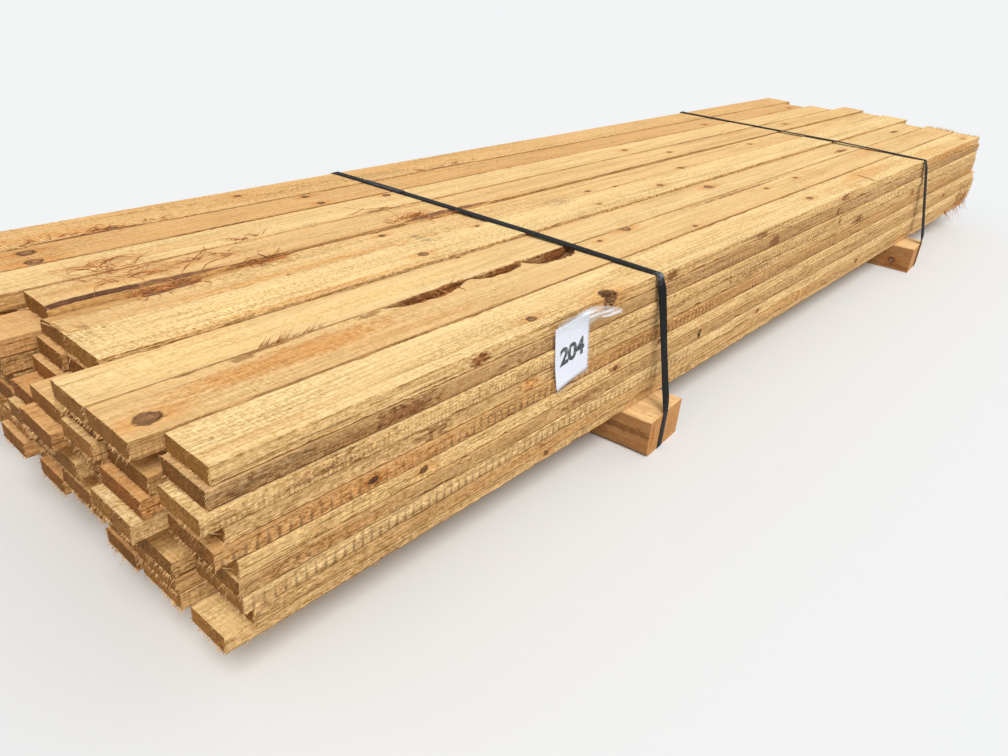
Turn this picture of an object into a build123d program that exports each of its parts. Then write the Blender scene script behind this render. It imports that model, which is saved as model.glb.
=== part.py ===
import math
import os

from build123d import *

# Bundle of rough-sawn cedar boards on two bearers, held by two flat plastic straps.
# Millimetres. +X runs along the boards, +Y across the stack to its back, +Z up.
# The origin is the middle of the bounding box, on the floor.

# Boards
board_length = 3048.0
board_thickness = 25.4
layer_count = 10
over_length = 60.0          # hidden boards are sawn up to this much longer
# Width of each column's boards, front to back
column_widths = [101.0, 97.0, 83.0, 92.0, 78.0, 80.0, 83.0, 79.0, 93.0]
# The whole column stands this much higher than the front one, front to back
column_rise = [0.0, 2.0, 2.0, 7.0, 5.0, 9.0, 10.0, 10.0, 11.0]
side_gap = 1.8              # between the columns
width_loss = 4.0            # the narrowest board is this much narrower than its column
stagger = 40.0              # how far hidden board ends lie in or out of line
# Front boards that are narrower than their column: layer, how much
narrow_front_boards = {1: 19.0, 8: 12.0}

# How far each board of the front column is set back from the front plane, bottom to top
front_setback = [8.5, 0.5, 0.0, 1.0, 3.0, 5.5, 8.0, 6.0, 11.0, 14.0]
# Near ends of the boards under the top layer that can be seen, from the line of the top front
# board's end, + is further along X: columns from front to back, each from bottom to top
near_ends = [
    [-8.0, 27.0, 14.0, 12.0, 15.0, -10.0, 6.0, -21.0, -8.0],
    [-8.0, -10.0, -12.0, 22.0, 12.0, -50.0, -36.0, -24.0, 70.0],
    [-12.0, -8.0, 0.0, 0.0, -10.0, -20.0, -30.0, -38.0, -30.0],
    [60.0, -10.0, -20.0, 10.0, -31.0, -10.0, -51.0, -34.0, 15.0],
    [75.0, -20.0, -4.0, -20.0, -27.0, -40.0, -30.0, 0.0, 10.0],
    [90.0, -5.0, -34.0, -25.0, -20.0, -30.0, -25.0, -36.0, -38.0],
]
# The same for the top layer, front to back
top_near_ends = [0.0, -38.0, -39.0, 18.0, 19.0, 33.0, -66.0, -136.0, -76.0]
# How much longer than board_length: the front column from bottom to top, and the top layer
front_extra = [60.0, 35.0, 60.0, 60.0, 35.0, 25.0, 20.0, 20.0, 30.0, 0.0]
top_extra = [0.0, 45.0, 0.0, 30.0, 15.0, 35.0, 0.0, 0.0, 0.0]

# Natural edges where the log's round side shows, in the top layer:
# column, edge, middle from the board's near end, half the run along the edge, depth at the
# middle, degrees between the natural edge and the board's face
wane_cuts = [
    (0, "front", 2740.0, 225.0, 5.0, 40.0),
    (1, "back", 515.0, 92.0, 20.0, 35.0),
    (1, "back", 677.0, 64.0, 20.0, 35.0),
    (1, "back", 815.0, 75.0, 31.0, 30.0),
    (4, "back", 0.0, 420.0, 31.0, 15.0),
    (5, "front", 46.0, 234.0, 16.0, 70.0),
    (5, "front", 760.0, 130.0, 14.0, 60.0),
    (8, "front", 285.0, 120.0, 6.0, 55.0),
    (8, "front", 1115.0, 112.0, 6.0, 55.0),
]

# A broken-out knot at the top front edge, and a slot knot in the long side
edge_knot_from_end = 711.0
edge_knot_below_top = 6.0
edge_knot_radius = 17.0
slot_knot_layer = 4
slot_knot_from_end = 1029.0
slot_knot_width = 9.0
slot_knot_height = 20.0
slot_knot_depth = 22.0

# Bearers, placed by the middle of their front ends
bearer_length = 914.4
bearer_width = 127.0
bearer_height = 76.2
bearer_overhang = 45.0      # past the front of the stack
bearer_skew = 5.2           # degrees off square
near_bearer_from_end = 872.0
bearer_spacing = 1524.0
bearer_wane = 15.0          # rounded corner of the log under the near bearer's near side

# Straps: where they cross the bearer's front end, from its middle, the degrees that the
# loop lies off square and the degrees that it leans along the stack
strap_width = 19.0
strap_thickness = 0.9
strap_clearance = 0.3
near_strap_from_bearer = -9.0
near_strap_skew = 5.8
near_strap_lean = 0.0
far_strap_from_bearer = 29.0
far_strap_skew = 8.0
far_strap_lean = 5.0

# Lot tag
tag_width = 92.0
tag_height = 118.0
tag_thickness = 0.8
tag_from_end = 606.0
tag_below_top = 62.0        # its middle below the top of the stack
tag_lean = 7.7
tag_layers = 5              # how many layers it lies against
tag_clearance = 0.3

layers = range(1, layer_count + 1)
columns = range(len(column_widths))
stack_width = sum(column_widths) + side_gap * (len(column_widths) - 1)
stack_front = -stack_width / 2
top_layer = layer_count
groove_depth = strap_thickness + 2 * strap_clearance
low = (Align.CENTER, Align.MIN, Align.MIN)


def scatter(*numbers):
    """A fixed value from -1 to 1 for each board, so that no two are alike."""
    wave = sum((place + 1.7) * 12.99 * number for place, number in enumerate(numbers))
    return 2 * (math.sin(wave) * 43.7 % 1.0) - 1


def thickness_of(column):
    return board_thickness + column_rise[column] / layer_count


def bottom_of(layer, column):
    return bearer_height + (layer - 1) * thickness_of(column)


def top_of(layer, column):
    return bottom_of(layer, column) + thickness_of(column)


def near_end_of(layer, column):
    """X of a board's near end, from the line of the top front board's near end."""
    if layer == top_layer:
        return top_near_ends[column]
    if column < len(near_ends):
        return near_ends[column][layer - 1]
    return stagger * scatter(layer, column, 1)


def length_of(layer, column):
    if layer == top_layer:
        return board_length + top_extra[column]
    if column == 0:
        return board_length + front_extra[layer - 1]
    return board_length + over_length * (0.5 + 0.5 * scatter(layer, column, 4))


def sides_of(layer, column):
    """Y of a board's front and back edge, inside its own column."""
    column_front = stack_front + sum(column_widths[:column]) + side_gap * column
    column_back = column_front + column_widths[column]
    if column == 0:
        narrower = narrow_front_boards.get(layer, 0)
        return column_front + front_setback[layer - 1], column_back - narrower
    if layer == top_layer:
        return column_front, column_back
    loss = width_loss * (0.5 + 0.5 * scatter(layer, column, 2))
    share = 0.5 + 0.5 * scatter(layer, column, 3)
    return column_front + loss * share, column_back - loss * (1 - share)


def wane_cutter(edge, x_middle, y_edge, z_edge, half_run, depth, wane_slope):
    """A shallow round cut that takes a lens-shaped slope off one long top edge."""
    outward = -1 if edge == "front" else 1
    slope = math.radians(wane_slope)
    bite = depth * math.sin(slope)
    radius = (half_run ** 2 + bite ** 2) / (2 * bite)
    away = Vector(0, outward * math.sin(slope), math.cos(slope))
    along = Vector(0, outward * math.cos(slope), -math.sin(slope))
    centre = Vector(x_middle, y_edge, z_edge) + away * (radius - bite)
    plane = Plane(origin=centre, x_dir=(1, 0, 0), z_dir=along)
    return plane * Cylinder(radius, 4 * (depth + board_thickness))


def make_board(layer, column):
    x_near = near_end_of(layer, column)
    front, back = sides_of(layer, column)
    bottom = bottom_of(layer, column)
    top = top_of(layer, column)
    board = Pos(x_near, front, bottom) * Box(
        length_of(layer, column), back - front, top - bottom,
        align=(Align.MIN, Align.MIN, Align.MIN))
    if layer == top_layer:
        for cut_column, edge, middle, *size in wane_cuts:
            if cut_column == column:
                y_edge = front if edge == "front" else back
                board -= wane_cutter(edge, x_near + middle, y_edge, top, *size)
        if column == 0:
            knot = Pos(x_near + edge_knot_from_end, front, top - edge_knot_below_top)
            board -= knot * Sphere(edge_knot_radius)
    if layer == slot_knot_layer and column == 0:
        middle = (x_near + slot_knot_from_end, front, (bottom + top) / 2)
        slot = SlotOverall(slot_knot_height, slot_knot_width, rotation=90)
        side = Plane(middle, x_dir=(1, 0, 0), z_dir=(0, 1, 0))
        board -= extrude(side * slot, slot_knot_depth)
    return board.solid()


def make_layer(layer):
    return Compound(children=[make_board(layer, column) for column in columns])


def bearer_frame(from_end):
    """The bearer's own frame: its front end's middle on the floor, X across it, Y along it."""
    return Location((from_end, stack_front - bearer_overhang, 0), (0, 0, bearer_skew))


def strap_frame(from_end, from_bearer, strap_skew):
    """The strap's own frame: where it crosses the bearer's front end, on the floor."""
    crossing = (bearer_frame(from_end) * Pos(from_bearer, 0, 0)).position
    return Location((crossing.X, crossing.Y, 0), (0, 0, strap_skew))


def strap_shift(height, strap_lean):
    """How far the leaning loop lies along the stack, at a height above the floor."""
    return (bearer_height / 2 - height) * math.tan(math.radians(strap_lean))


def make_bearer(from_end, strap, wane=0.0):
    from_bearer, strap_skew, strap_lean = strap
    beam = Box(bearer_width, bearer_length, bearer_height, align=low)
    if wane:
        beam = chamfer(beam.edges().filter_by(Axis.Y).group_by(Axis.Z)[0].sort_by(Axis.X)[0], wane)
    groove = Pos(strap_shift(0, strap_lean), -bearer_length / 2, 0) * Box(
        strap_width + 4 * strap_clearance, 2 * bearer_length, groove_depth, align=low)
    return (bearer_frame(from_end) * beam
            - strap_frame(from_end, from_bearer, strap_skew) * groove).solid()


def turn_of(a, b, c):
    return (b[0] - a[0]) * (c[1] - a[1]) - (b[1] - a[1]) * (c[0] - a[0])


def half_outline(run):
    line = []
    for point in run:
        while len(line) > 1 and turn_of(line[-2], line[-1], point) <= 0:
            line.pop()
        line.append(point)
    return line[:-1]


def taut_line(points):
    """The points that a tight band touches, in order round the section."""
    ordered = sorted(set(points))
    return half_outline(ordered) + half_outline(ordered[::-1])


def make_strap(from_end, strap):
    """A band pulled tight round the section of the stack and its bearer."""
    from_bearer, strap_skew, strap_lean = strap
    skew = math.radians(strap_skew)
    off_bearer = math.radians(strap_skew - bearer_skew)
    lean = math.radians(strap_lean)
    frame = strap_frame(from_end, from_bearer, strap_skew)
    stack_room = strap_width / 2 * math.tan(skew)
    bearer_room = strap_width / 2 * math.tan(abs(off_bearer))
    points = []
    for layer in layers:
        for column in columns:
            height = top_of(layer, column)
            drift = strap_shift(height, strap_lean) * math.tan(skew)
            front, back = sides_of(layer, column)
            for side, y in ((-1, front), (1, back)):
                across = (y - frame.position.Y) / math.cos(skew) - drift
                points.append((across + side * stack_room, height / math.cos(lean)))
    for side, reach in ((-1, 0.0), (1, bearer_length)):
        for height in (groove_depth, bearer_height):
            drift = strap_shift(height, strap_lean) * math.tan(off_bearer)
            across = reach / math.cos(off_bearer) - drift
            points.append((across + side * bearer_room, height / math.cos(lean)))
    section = make_face(Polyline(*taut_line(points), close=True))
    inner = offset(section, strap_clearance, kind=Kind.ARC)
    outer = offset(section, strap_clearance + strap_thickness, kind=Kind.ARC)
    plane = Plane(origin=(strap_shift(0, strap_lean) - strap_width / 2, 0, 0), x_dir=(0, 1, 0),
                  z_dir=(math.cos(lean), 0, math.sin(lean)))
    band = extrude(plane * (outer - inner), strap_width, dir=(1, 0, 0))
    return (frame * band).solid()


def make_tag():
    """The card in its sleeve, hung on the long side."""
    proudest = min(sides_of(layer, 0)[0] for layer in layers[-tag_layers:])
    place = Pos(tag_from_end, proudest - tag_clearance - tag_thickness / 2,
                top_of(top_layer, 0) - tag_below_top)
    return (place * Rot(0, -tag_lean, 0) * Box(tag_width, tag_thickness, tag_height)).solid()


def build():
    near_strap = (near_strap_from_bearer, near_strap_skew, near_strap_lean)
    far_strap = (far_strap_from_bearer, far_strap_skew, far_strap_lean)
    far_bearer_from_end = near_bearer_from_end + bearer_spacing
    nodes = {f"layer_{layer}": make_layer(layer) for layer in layers}
    nodes["bearer_near"] = make_bearer(near_bearer_from_end, near_strap, bearer_wane)
    nodes["bearer_far"] = make_bearer(far_bearer_from_end, far_strap)
    nodes["strap_near"] = make_strap(near_bearer_from_end, near_strap)
    nodes["strap_far"] = make_strap(far_bearer_from_end, far_strap)
    nodes["lot_tag"] = make_tag()
    return nodes


def centred(nodes):
    """Move everything so that the origin is the middle of the box, on the floor."""
    boxes = [shape.bounding_box() for shape in nodes.values()]
    middle_x = (min(b.min.X for b in boxes) + max(b.max.X for b in boxes)) / 2
    middle_y = (min(b.min.Y for b in boxes) + max(b.max.Y for b in boxes)) / 2
    floor = min(b.min.Z for b in boxes)
    return {name: Pos(-middle_x, -middle_y, -floor) * shape for name, shape in nodes.items()}


os.makedirs("parts", exist_ok=True)
for name, shape in centred(build()).items():
    shape.label = name
    export_step(shape, f"parts/{name}.step")
    print(name, len(shape.solids()), shape.bounding_box())
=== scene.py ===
import math

import bpy
import numpy as np
from mathutils import Matrix, Vector


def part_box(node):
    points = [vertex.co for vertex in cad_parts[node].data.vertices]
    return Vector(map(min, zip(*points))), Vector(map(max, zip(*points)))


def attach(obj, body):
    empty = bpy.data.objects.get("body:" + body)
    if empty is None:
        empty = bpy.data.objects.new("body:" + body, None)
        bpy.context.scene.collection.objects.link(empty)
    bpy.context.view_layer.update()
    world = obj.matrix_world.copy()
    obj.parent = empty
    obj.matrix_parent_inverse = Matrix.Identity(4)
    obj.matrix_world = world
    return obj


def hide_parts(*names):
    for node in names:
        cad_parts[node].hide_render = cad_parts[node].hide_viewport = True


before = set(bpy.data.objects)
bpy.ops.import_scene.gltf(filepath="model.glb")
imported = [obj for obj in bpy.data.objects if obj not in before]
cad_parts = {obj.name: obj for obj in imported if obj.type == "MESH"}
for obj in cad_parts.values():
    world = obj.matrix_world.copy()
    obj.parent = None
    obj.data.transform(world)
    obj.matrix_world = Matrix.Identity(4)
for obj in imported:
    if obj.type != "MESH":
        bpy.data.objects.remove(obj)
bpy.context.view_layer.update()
mm = 0.001
print("frame loaded")

# Camera and light

cameraView = {
    "place": (-1.84743, -1.03043, 0.81385),
    "right": (0.65901, -0.74828, 0.07601),
    "down": (-0.31395, -0.36551, -0.87626),
    "forward": (0.68347, 0.55360, -0.47580),
    "lens": 28.66,
    "sensorWidth": 36.0,
    "clipEnd": 200.0,
}

lightLook = {
    "skyColour": (0.93, 0.96, 1.0),
    "skyStrength": 0.67,
    "sunEnergy": 2.3,
    "sunAngle": 30.0,             # degrees, so the shadows stay soft
    "sunTilt": (28.0, -24.0),     # degrees about X and Y
    "floorColour": (0.74, 0.74, 0.73),
    "floorSize": 160.0,
}


def makeCamera(look):
    data = bpy.data.cameras.new("camera")
    data.lens = look["lens"]
    data.sensor_width = look["sensorWidth"]
    data.clip_end = look["clipEnd"]
    camera = bpy.data.objects.new("camera", data)
    bpy.context.scene.collection.objects.link(camera)
    right, down, forward = (Vector(look[key]) for key in ("right", "down", "forward"))
    turn = Matrix((right, -down, -forward)).transposed().to_4x4()
    camera.matrix_world = Matrix.Translation(look["place"]) @ turn
    bpy.context.scene.camera = camera


def makeLight(look):
    world = bpy.data.worlds.new("sky")
    world.use_nodes = True
    sky = world.node_tree.nodes["Background"]
    sky.inputs["Color"].default_value = (*look["skyColour"], 1)
    sky.inputs["Strength"].default_value = look["skyStrength"]
    bpy.context.scene.world = world
    data = bpy.data.lights.new("softSun", "SUN")
    data.energy = look["sunEnergy"]
    data.angle = math.radians(look["sunAngle"])
    sun = bpy.data.objects.new("softSun", data)
    sun.rotation_euler = (*(math.radians(angle) for angle in look["sunTilt"]), 0)
    bpy.context.scene.collection.objects.link(sun)


makeCamera(cameraView)
makeLight(lightLook)
bpy.context.scene.view_settings.view_transform = "Standard"
print("camera and light set")

# Shader tools


class Wire:  # a socket that Python expressions work on
    def __init__(self, paint, socket):
        self.paint = paint
        self.socket = socket

    def math(self, operation, *others):
        return self.paint.add("ShaderNodeMath", {"operation": operation}, self, *others)

    def turned(self, operation, other):
        return self.paint.add("ShaderNodeMath", {"operation": operation}, other, self)

    def __add__(self, other):
        return self.math("ADD", other)

    def __sub__(self, other):
        return self.math("SUBTRACT", other)

    def __mul__(self, other):
        return self.math("MULTIPLY", other)

    def __truediv__(self, other):
        return self.math("DIVIDE", other)

    def __pow__(self, other):
        return self.math("POWER", other)

    def __radd__(self, other):
        return self.turned("ADD", other)

    def __rsub__(self, other):
        return self.turned("SUBTRACT", other)

    def __rmul__(self, other):
        return self.turned("MULTIPLY", other)

    def __rtruediv__(self, other):
        return self.turned("DIVIDE", other)

    def clamped(self):  # held between 0 and 1
        held = self.math("MULTIPLY_ADD", 1.0, 0.0)
        held.socket.node.use_clamp = True
        return held

    def ramp(self, start, slope):  # from 0 at the start up to 1, downwards with a slope below 0
        return ((self - start) * slope).clamped()

    def sine(self):
        return self.math("SINE")

    def wave(self, power):  # from 0 to 1 and back, with narrower crests for a higher power
        return (0.5 + 0.5 * self.sine()) ** power

    def atLeast(self, least):
        return self.math("MAXIMUM", least)


class Paint:  # one material and the nodes it is made of
    def __init__(self, name, **fixed):
        self.material = bpy.data.materials.new(name)
        self.material.use_nodes = True
        self.nodes = self.material.node_tree.nodes
        self.links = self.material.node_tree.links
        self.shader = self.nodes["Principled BSDF"]
        for socket, value in fixed.items():
            self.shader.inputs[socket.replace("_", " ")].default_value = value

    def add(self, kind, settings, *values, out=None, **named):
        node = self.nodes.new(kind)
        for key, value in settings.items():
            setattr(node, key, value)
        sockets = [socket for socket in node.inputs if socket.enabled]
        for socket, value in zip(sockets, values):
            self.give(socket, value)
        for key, value in named.items():
            self.give(next(s for s in sockets if s.name == key.replace("_", " ")), value)
        outputs = [socket for socket in node.outputs if socket.enabled]
        found = outputs[0] if out is None else next(s for s in outputs if s.name == out)
        return Wire(self, found)

    def give(self, socket, value):
        if isinstance(value, Wire):
            self.links.new(value.socket, socket)
        elif socket.type == "RGBA" and len(value) == 3:
            socket.default_value = (*value, 1)
        else:
            socket.default_value = value

    def read(self, name, out="Vector"):
        return self.add("ShaderNodeAttribute", {"attribute_name": name}, out=out)

    def split(self, vector):
        node = self.add("ShaderNodeSeparateXYZ", {}, vector).socket.node
        return [Wire(self, socket) for socket in node.outputs]

    def join(self, x, y, z):
        return self.add("ShaderNodeCombineXYZ", {}, x, y, z)

    def noise(self, vector, scale, detail=3.0, roughness=0.55):
        return self.add("ShaderNodeTexNoise", {}, vector, Scale=scale, Detail=detail,
                        Roughness=roughness)

    def stretchedNoise(self, vector, amounts, detail=3.0, roughness=0.55):
        settings = {"operation": "MULTIPLY"}
        return self.noise(self.add("ShaderNodeVectorMath", settings, vector, amounts), 1.0, detail,
                          roughness)

    def mix(self, factor, first, second, blend="MIX"):
        settings = {"data_type": "RGBA", "blend_type": blend}
        return self.add("ShaderNodeMix", settings, factor, first, second)

    def tinted(self, factor, colour, tint):
        return self.mix(factor, colour, tint, "MULTIPLY")

    def scaled(self, colour, amount):
        return self.add("ShaderNodeVectorMath", {"operation": "SCALE"}, colour, amount)

    def bump(self, height, distance, strength=1.0):
        return self.add("ShaderNodeBump", {}, Strength=strength, Distance=distance, Height=height)

    def finish(self, **wires):
        for socket, wire in wires.items():
            self.give(self.shader.inputs[socket.replace("_", " ")], wire)
        return self.material


# Cedar, as a rough-sawn face, edge or end

faceLook = {
    "pale": (0.96, 0.725, 0.360),
    "tan": (0.77, 0.46, 0.178),
    "late": (0.52, 0.255, 0.085),
    "tick": (0.36, 0.165, 0.055),
    "ringGap": 0.0052,
    "lateAmount": 0.40,
    "bandAmount": 1.1,
    "fuzzAmount": 1.35,
    "streakAmount": 0.65,
    "sawAmount": 0.20,
    "gridAmount": 0.10,
    "tickAmount": 0.55,
    "fibreStretch": (170, 400, 400),
    "blotchAmount": 0.25,
    "crackAmount": 0.25,
    "relief": 0.0018,
}
edgeLook = {
    **faceLook,
    "pale": (0.92, 0.62, 0.280),
    "tan": (0.52, 0.275, 0.092),
    "late": (0.29, 0.130, 0.038),
    "bandAmount": 0.7,
    "fuzzAmount": 2.9,
    "streakAmount": 1.6,
    "sawAmount": 0.30,
    "gridAmount": 0.0,
    "tickAmount": 0.7,
    "fibreStretch": (150, 560, 560),
    "blotchAmount": 0.3,
    "crackAmount": 0.5,
    "relief": 0.0036,
}
endLook = {
    **faceLook,
    "pale": (0.43, 0.195, 0.042),
    "tan": (0.19, 0.080, 0.015),
    "late": (0.080, 0.028, 0.005),
    "tick": (0.05, 0.020, 0.007),
    "ringGap": 0.0040,
    "lateAmount": 0.30,
    "fuzzAmount": 2.6,
    "streakAmount": 0.4,
    "sawAmount": 0.3,
    "gridAmount": 0.0,
    "tickAmount": 0.9,
    "fibreStretch": (190, 400, 400),
    "blotchAmount": 0.4,
    "crackAmount": 0.0,
    "relief": 0.0050,
}
shadeLook = {                         # what the wood's colour is multiplied by: tints of its own, and the painted shade of the sawn fuzz
    "reddened": (0.80, 0.56, 0.42),
    "greyed": (0.82, 0.84, 1.02),
    "paintedHollowShade": (1.0, 0.82, 0.52),
    "darkest": 0.3,
}
flowLook = {                          # how far the grain sways, and how densely it varies
    "sway": 0.034,
    "wander": 0.012,
    "ragged": (62, 130, 130),
    "patchy": (4.5, 26, 26),
    "coarseFuzz": (85, 150, 150),
    "streak": (6, 400, 400),
    "band": (1.1, 30, 30),
    "ticks": (105, 620, 620),
    "sawn": (330, 14, 14),
}
knotLook = {
    "dark": (0.070, 0.029, 0.014),
    "small": (0.22, 0.095, 0.042),    # the middle of a small knot
    "large": (0.56, 0.275, 0.110),
    "huge": (0.20, 0.085, 0.038),
    "halo": (0.86, 0.60, 0.38),
    "holeSize": 0.004,                # a mark smaller than this is a dark hole
    "largeSize": 0.0075,
    "hugeSize": 0.0125,
}
combLook = {
    "coarseGap": 0.0145,
    "fineGap": 0.0066,
    "lineGap": 0.0068,
    "shadow": (0.20, 0.085, 0.03),
    "strength": 0.6,
}


def cedar(name, look):
    paint = Paint(name, Specular_IOR_Level=0.2)
    grain = paint.read("grain")
    along, across, through = paint.split(grain)
    knotAlong, knotAcross, knotSize = paint.split(paint.read("knot"))
    stainAlong, stainAcross, stainStrength = paint.split(paint.read("stain"))
    tone, redness, comb = paint.split(paint.read("board"))
    roughness = paint.split(paint.read("finish"))[0]
    ragged = paint.stretchedNoise(grain, flowLook["ragged"], 4.0, 0.65)
    patchy = paint.stretchedNoise(grain, flowLook["patchy"])
    coarseFuzz = paint.stretchedNoise(grain, flowLook["coarseFuzz"], 2.0)
    fuzz = paint.stretchedNoise(grain, look["fibreStretch"], 5.0, 0.75)
    torn = patchy.ramp(0.44, 4)

    # the grain flows round the knots
    squared = knotAlong * knotAlong + knotAcross * knotAcross
    reach = squared ** 0.5 * (0.26 + 1.0 * ragged + 0.48 * fuzz)
    nearby = (1 - reach / 5).clamped()
    bent = across - knotSize * knotAcross / squared.atLeast(1.0) * nearby * nearby
    sway = paint.noise(paint.join(along, 0.3, 0.7), 1.6, 1.0)
    slant = bent + flowLook["sway"] * (sway - 0.5) + flowLook["wander"] * (patchy - 0.5)
    distance = (slant * slant + through * through) ** 0.5 / look["ringGap"]
    uneven = paint.noise(paint.join(distance * 0.31, along * 0.8, 0.5), 1.0, 3.0)
    late = ((distance + 3.4 * uneven) * math.tau + 2.0 * ragged).wave(2.4) * uneven.ramp(0.34, 3.4)
    flow = paint.join(along, slant, through)
    streak = paint.stretchedNoise(flow, flowLook["streak"], 4.0, 0.7)
    band = paint.stretchedNoise(flow, flowLook["band"])
    tick = paint.stretchedNoise(flow, flowLook["ticks"], 2.0).ramp(0.56, 8) * (0.25 + torn)
    sawn = paint.stretchedNoise(paint.join(along + 0.1 * across, across, through),
                                flowLook["sawn"], 3.0, 0.6)

    # marks of the saw's teeth, coarse or fine, and its faint lines across a face
    turn = along + 0.0030 * (ragged + 3 * sway)
    coarse = (turn * (math.tau / combLook["coarseGap"])).wave(5.0)
    fine = (turn * (math.tau / combLook["fineGap"])).wave(3.0)
    broken = (patchy + 0.5 * ragged).ramp(0.60, 6)
    strokes = (coarse * comb.clamped() + fine * (0 - comb).clamped() * 0.5) * (0.25 + broken)
    strokes = (strokes * (0.4 + 1.2 * fuzz)).clamped()
    lines = ((turn + 0.11 * across) * (math.tau / combLook["lineGap"])).wave(2.0)
    grid = lines * (0.25 + torn) * look["gridAmount"]

    # the tone of the board and its late wood, ticks and stains
    share = (0.5 + 0.5 * tone + look["bandAmount"] * (band - 0.5) + 0.5 * (patchy - 0.5)).clamped()
    colour = paint.mix(share, look["tan"], look["pale"])
    colour = paint.mix(late * look["lateAmount"], colour, look["late"])
    reddened = (redness * (0.4 + band)).clamped()
    colour = paint.tinted(reddened, colour, shadeLook["reddened"])
    greyed = ((0 - redness) * (0.4 + patchy)).clamped()
    colour = paint.tinted(greyed, colour, shadeLook["greyed"])
    colour = paint.mix((tick * roughness * look["tickAmount"]).clamped(), colour, look["tick"])
    stainReach = ((stainAlong * stainAlong + stainAcross * stainAcross) ** 0.5
                  + 1.3 * (ragged - 0.5) + 1.1 * (coarseFuzz - 0.5) + 1.0 * (fuzz - 0.5))
    stainMask = stainReach.ramp(1.05, -1.9) * stainStrength
    colour = paint.tinted(stainMask, colour, paint.read("stainTint", "Color"))

    # the fuzz of the sawn surface: its relief painted as light and shade, together with the streaks
    # and saw marks of the wood's own colour, and the painted shade in the hollows redder
    rough = fuzz + look["blotchAmount"] * (coarseFuzz - 0.5)
    crack = streak.ramp(0.41, -9) * look["crackAmount"]
    light = (1 + look["fuzzAmount"] * (rough - 0.5) * (0.7 + 0.6 * torn + stainMask) * roughness
             + look["streakAmount"] * (streak - 0.5) + look["sawAmount"] * (sawn - 0.5)
             - grid * roughness)
    colour = paint.tinted(light.ramp(1.02, -3.2), colour, shadeLook["paintedHollowShade"])
    colour = paint.scaled(colour, light.atLeast(shadeLook["darkest"]) * (1 - crack))

    # small knots are dark, large ones pale with a dark rim
    around = (knotAlong * knotAlong * 0.2 + knotAcross * knotAcross) ** 0.5 * (0.6 + 0.8 * ragged)
    halo = (((1.9 - around) / 1.2).clamped() * (0.2 + 0.9 * streak)).clamped()
    colour = paint.tinted(halo, colour, knotLook["halo"])
    large = knotSize.ramp(knotLook["largeSize"], 400)
    huge = knotSize.ramp(knotLook["hugeSize"], 400)
    hole = knotSize.ramp(knotLook["holeSize"], -900)
    heart = paint.mix(large, knotLook["small"], knotLook["large"])
    heart = paint.mix(huge, heart, knotLook["huge"])
    rim = (1 - ((reach - 0.80) * 3.2) ** 2.0).clamped() * (0.35 + 2.4 * (patchy - 0.35))
    swirl = (reach * 15 + ragged * 16).wave(2.0)
    speckled = ragged.ramp(0.38, 4) * 0.5 + swirl * large * 0.6 + hole
    knotColour = paint.mix((rim + speckled).clamped(), heart, knotLook["dark"])
    core = reach.ramp(1.04, -5)
    colour = paint.mix(core * (0.55 + 0.6 * coarseFuzz), colour, knotColour)
    colour = paint.mix(strokes * combLook["strength"], colour, combLook["shadow"])
    height = (rough * 0.7 + streak * 0.4 + sawn * 0.3 - strokes * 0.8 - late * 0.12
              - tick * 0.4 - grid - crack * 0.6 - core * (0.5 - 0.4 * fuzz))
    return paint.finish(Base_Color=colour, Roughness=0.78 + 0.2 * fuzz,
                        Normal=paint.bump(height, look["relief"], 0.85))


barkLooks = {
    "bark": {"dark": (0.055, 0.022, 0.013), "light": (0.25, 0.115, 0.062), "relief": 0.0035},
    "pocket": {"dark": (0.10, 0.040, 0.018), "light": (0.50, 0.245, 0.110), "relief": 0.0040},
    "bast": {"dark": (0.40, 0.175, 0.050), "light": (0.86, 0.50, 0.175), "relief": 0.0022},
}


def bark(name, look):
    paint = Paint(name, Specular_IOR_Level=0.2)
    grain = paint.read("grain")
    strands = paint.stretchedNoise(grain, (12, 420, 420), 5.0, 0.72)
    flakes = paint.stretchedNoise(grain, (90, 240, 240))
    share = (strands * 0.8 + flakes * 0.5).ramp(0.36, 2.2)
    colour = paint.mix(share, look["dark"], look["light"])
    return paint.finish(Base_Color=colour, Roughness=0.75 + 0.2 * flakes,
                        Normal=paint.bump(strands + 0.4 * flakes, look["relief"]))


splinterLooks = {
    "cedarSplinter": {"dark": (0.36, 0.17, 0.055), "light": (0.78, 0.50, 0.22)},
    "cedarRedSplinter": {"dark": (0.20, 0.062, 0.018), "light": (0.72, 0.30, 0.095)},
}


def fibre(name, look):
    paint = Paint(name, Specular_IOR_Level=0.25)
    shade = paint.stretchedNoise(paint.read("grain"), (55, 90, 90))
    colour = paint.mix(shade.ramp(0.3, 2.5), look["dark"], look["light"])
    return paint.finish(Base_Color=colour, Roughness=0.7 + 0.2 * shade)


faceWood = cedar("cedarFace", faceLook)
edgeWood = cedar("cedarEdge", edgeLook)
endWood = cedar("cedarEnd", endLook)
barkSkins = [bark("cedar" + key.title(), look) for key, look in barkLooks.items()]
splinterWood, redSplinter = (fibre(key, look) for key, look in splinterLooks.items())
print("wood materials made")

# Meshes

skinNames = ["face", "edge", "end", "bark", "pocket", "bast", "splinter", "red"]
skinAt = {skin: index for index, skin in enumerate(skinNames)}
boardSkins = [faceWood, edgeWood, endWood, *barkSkins, splinterWood, redSplinter]
farAway = (50.0, 50.0, 0.0)
nearOrFar = ("near", "far")


def addPiece(name, mesh):
    piece = bpy.data.objects.new(name, mesh)
    bpy.context.scene.collection.objects.link(piece)
    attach(piece, "root")
    return piece


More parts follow.
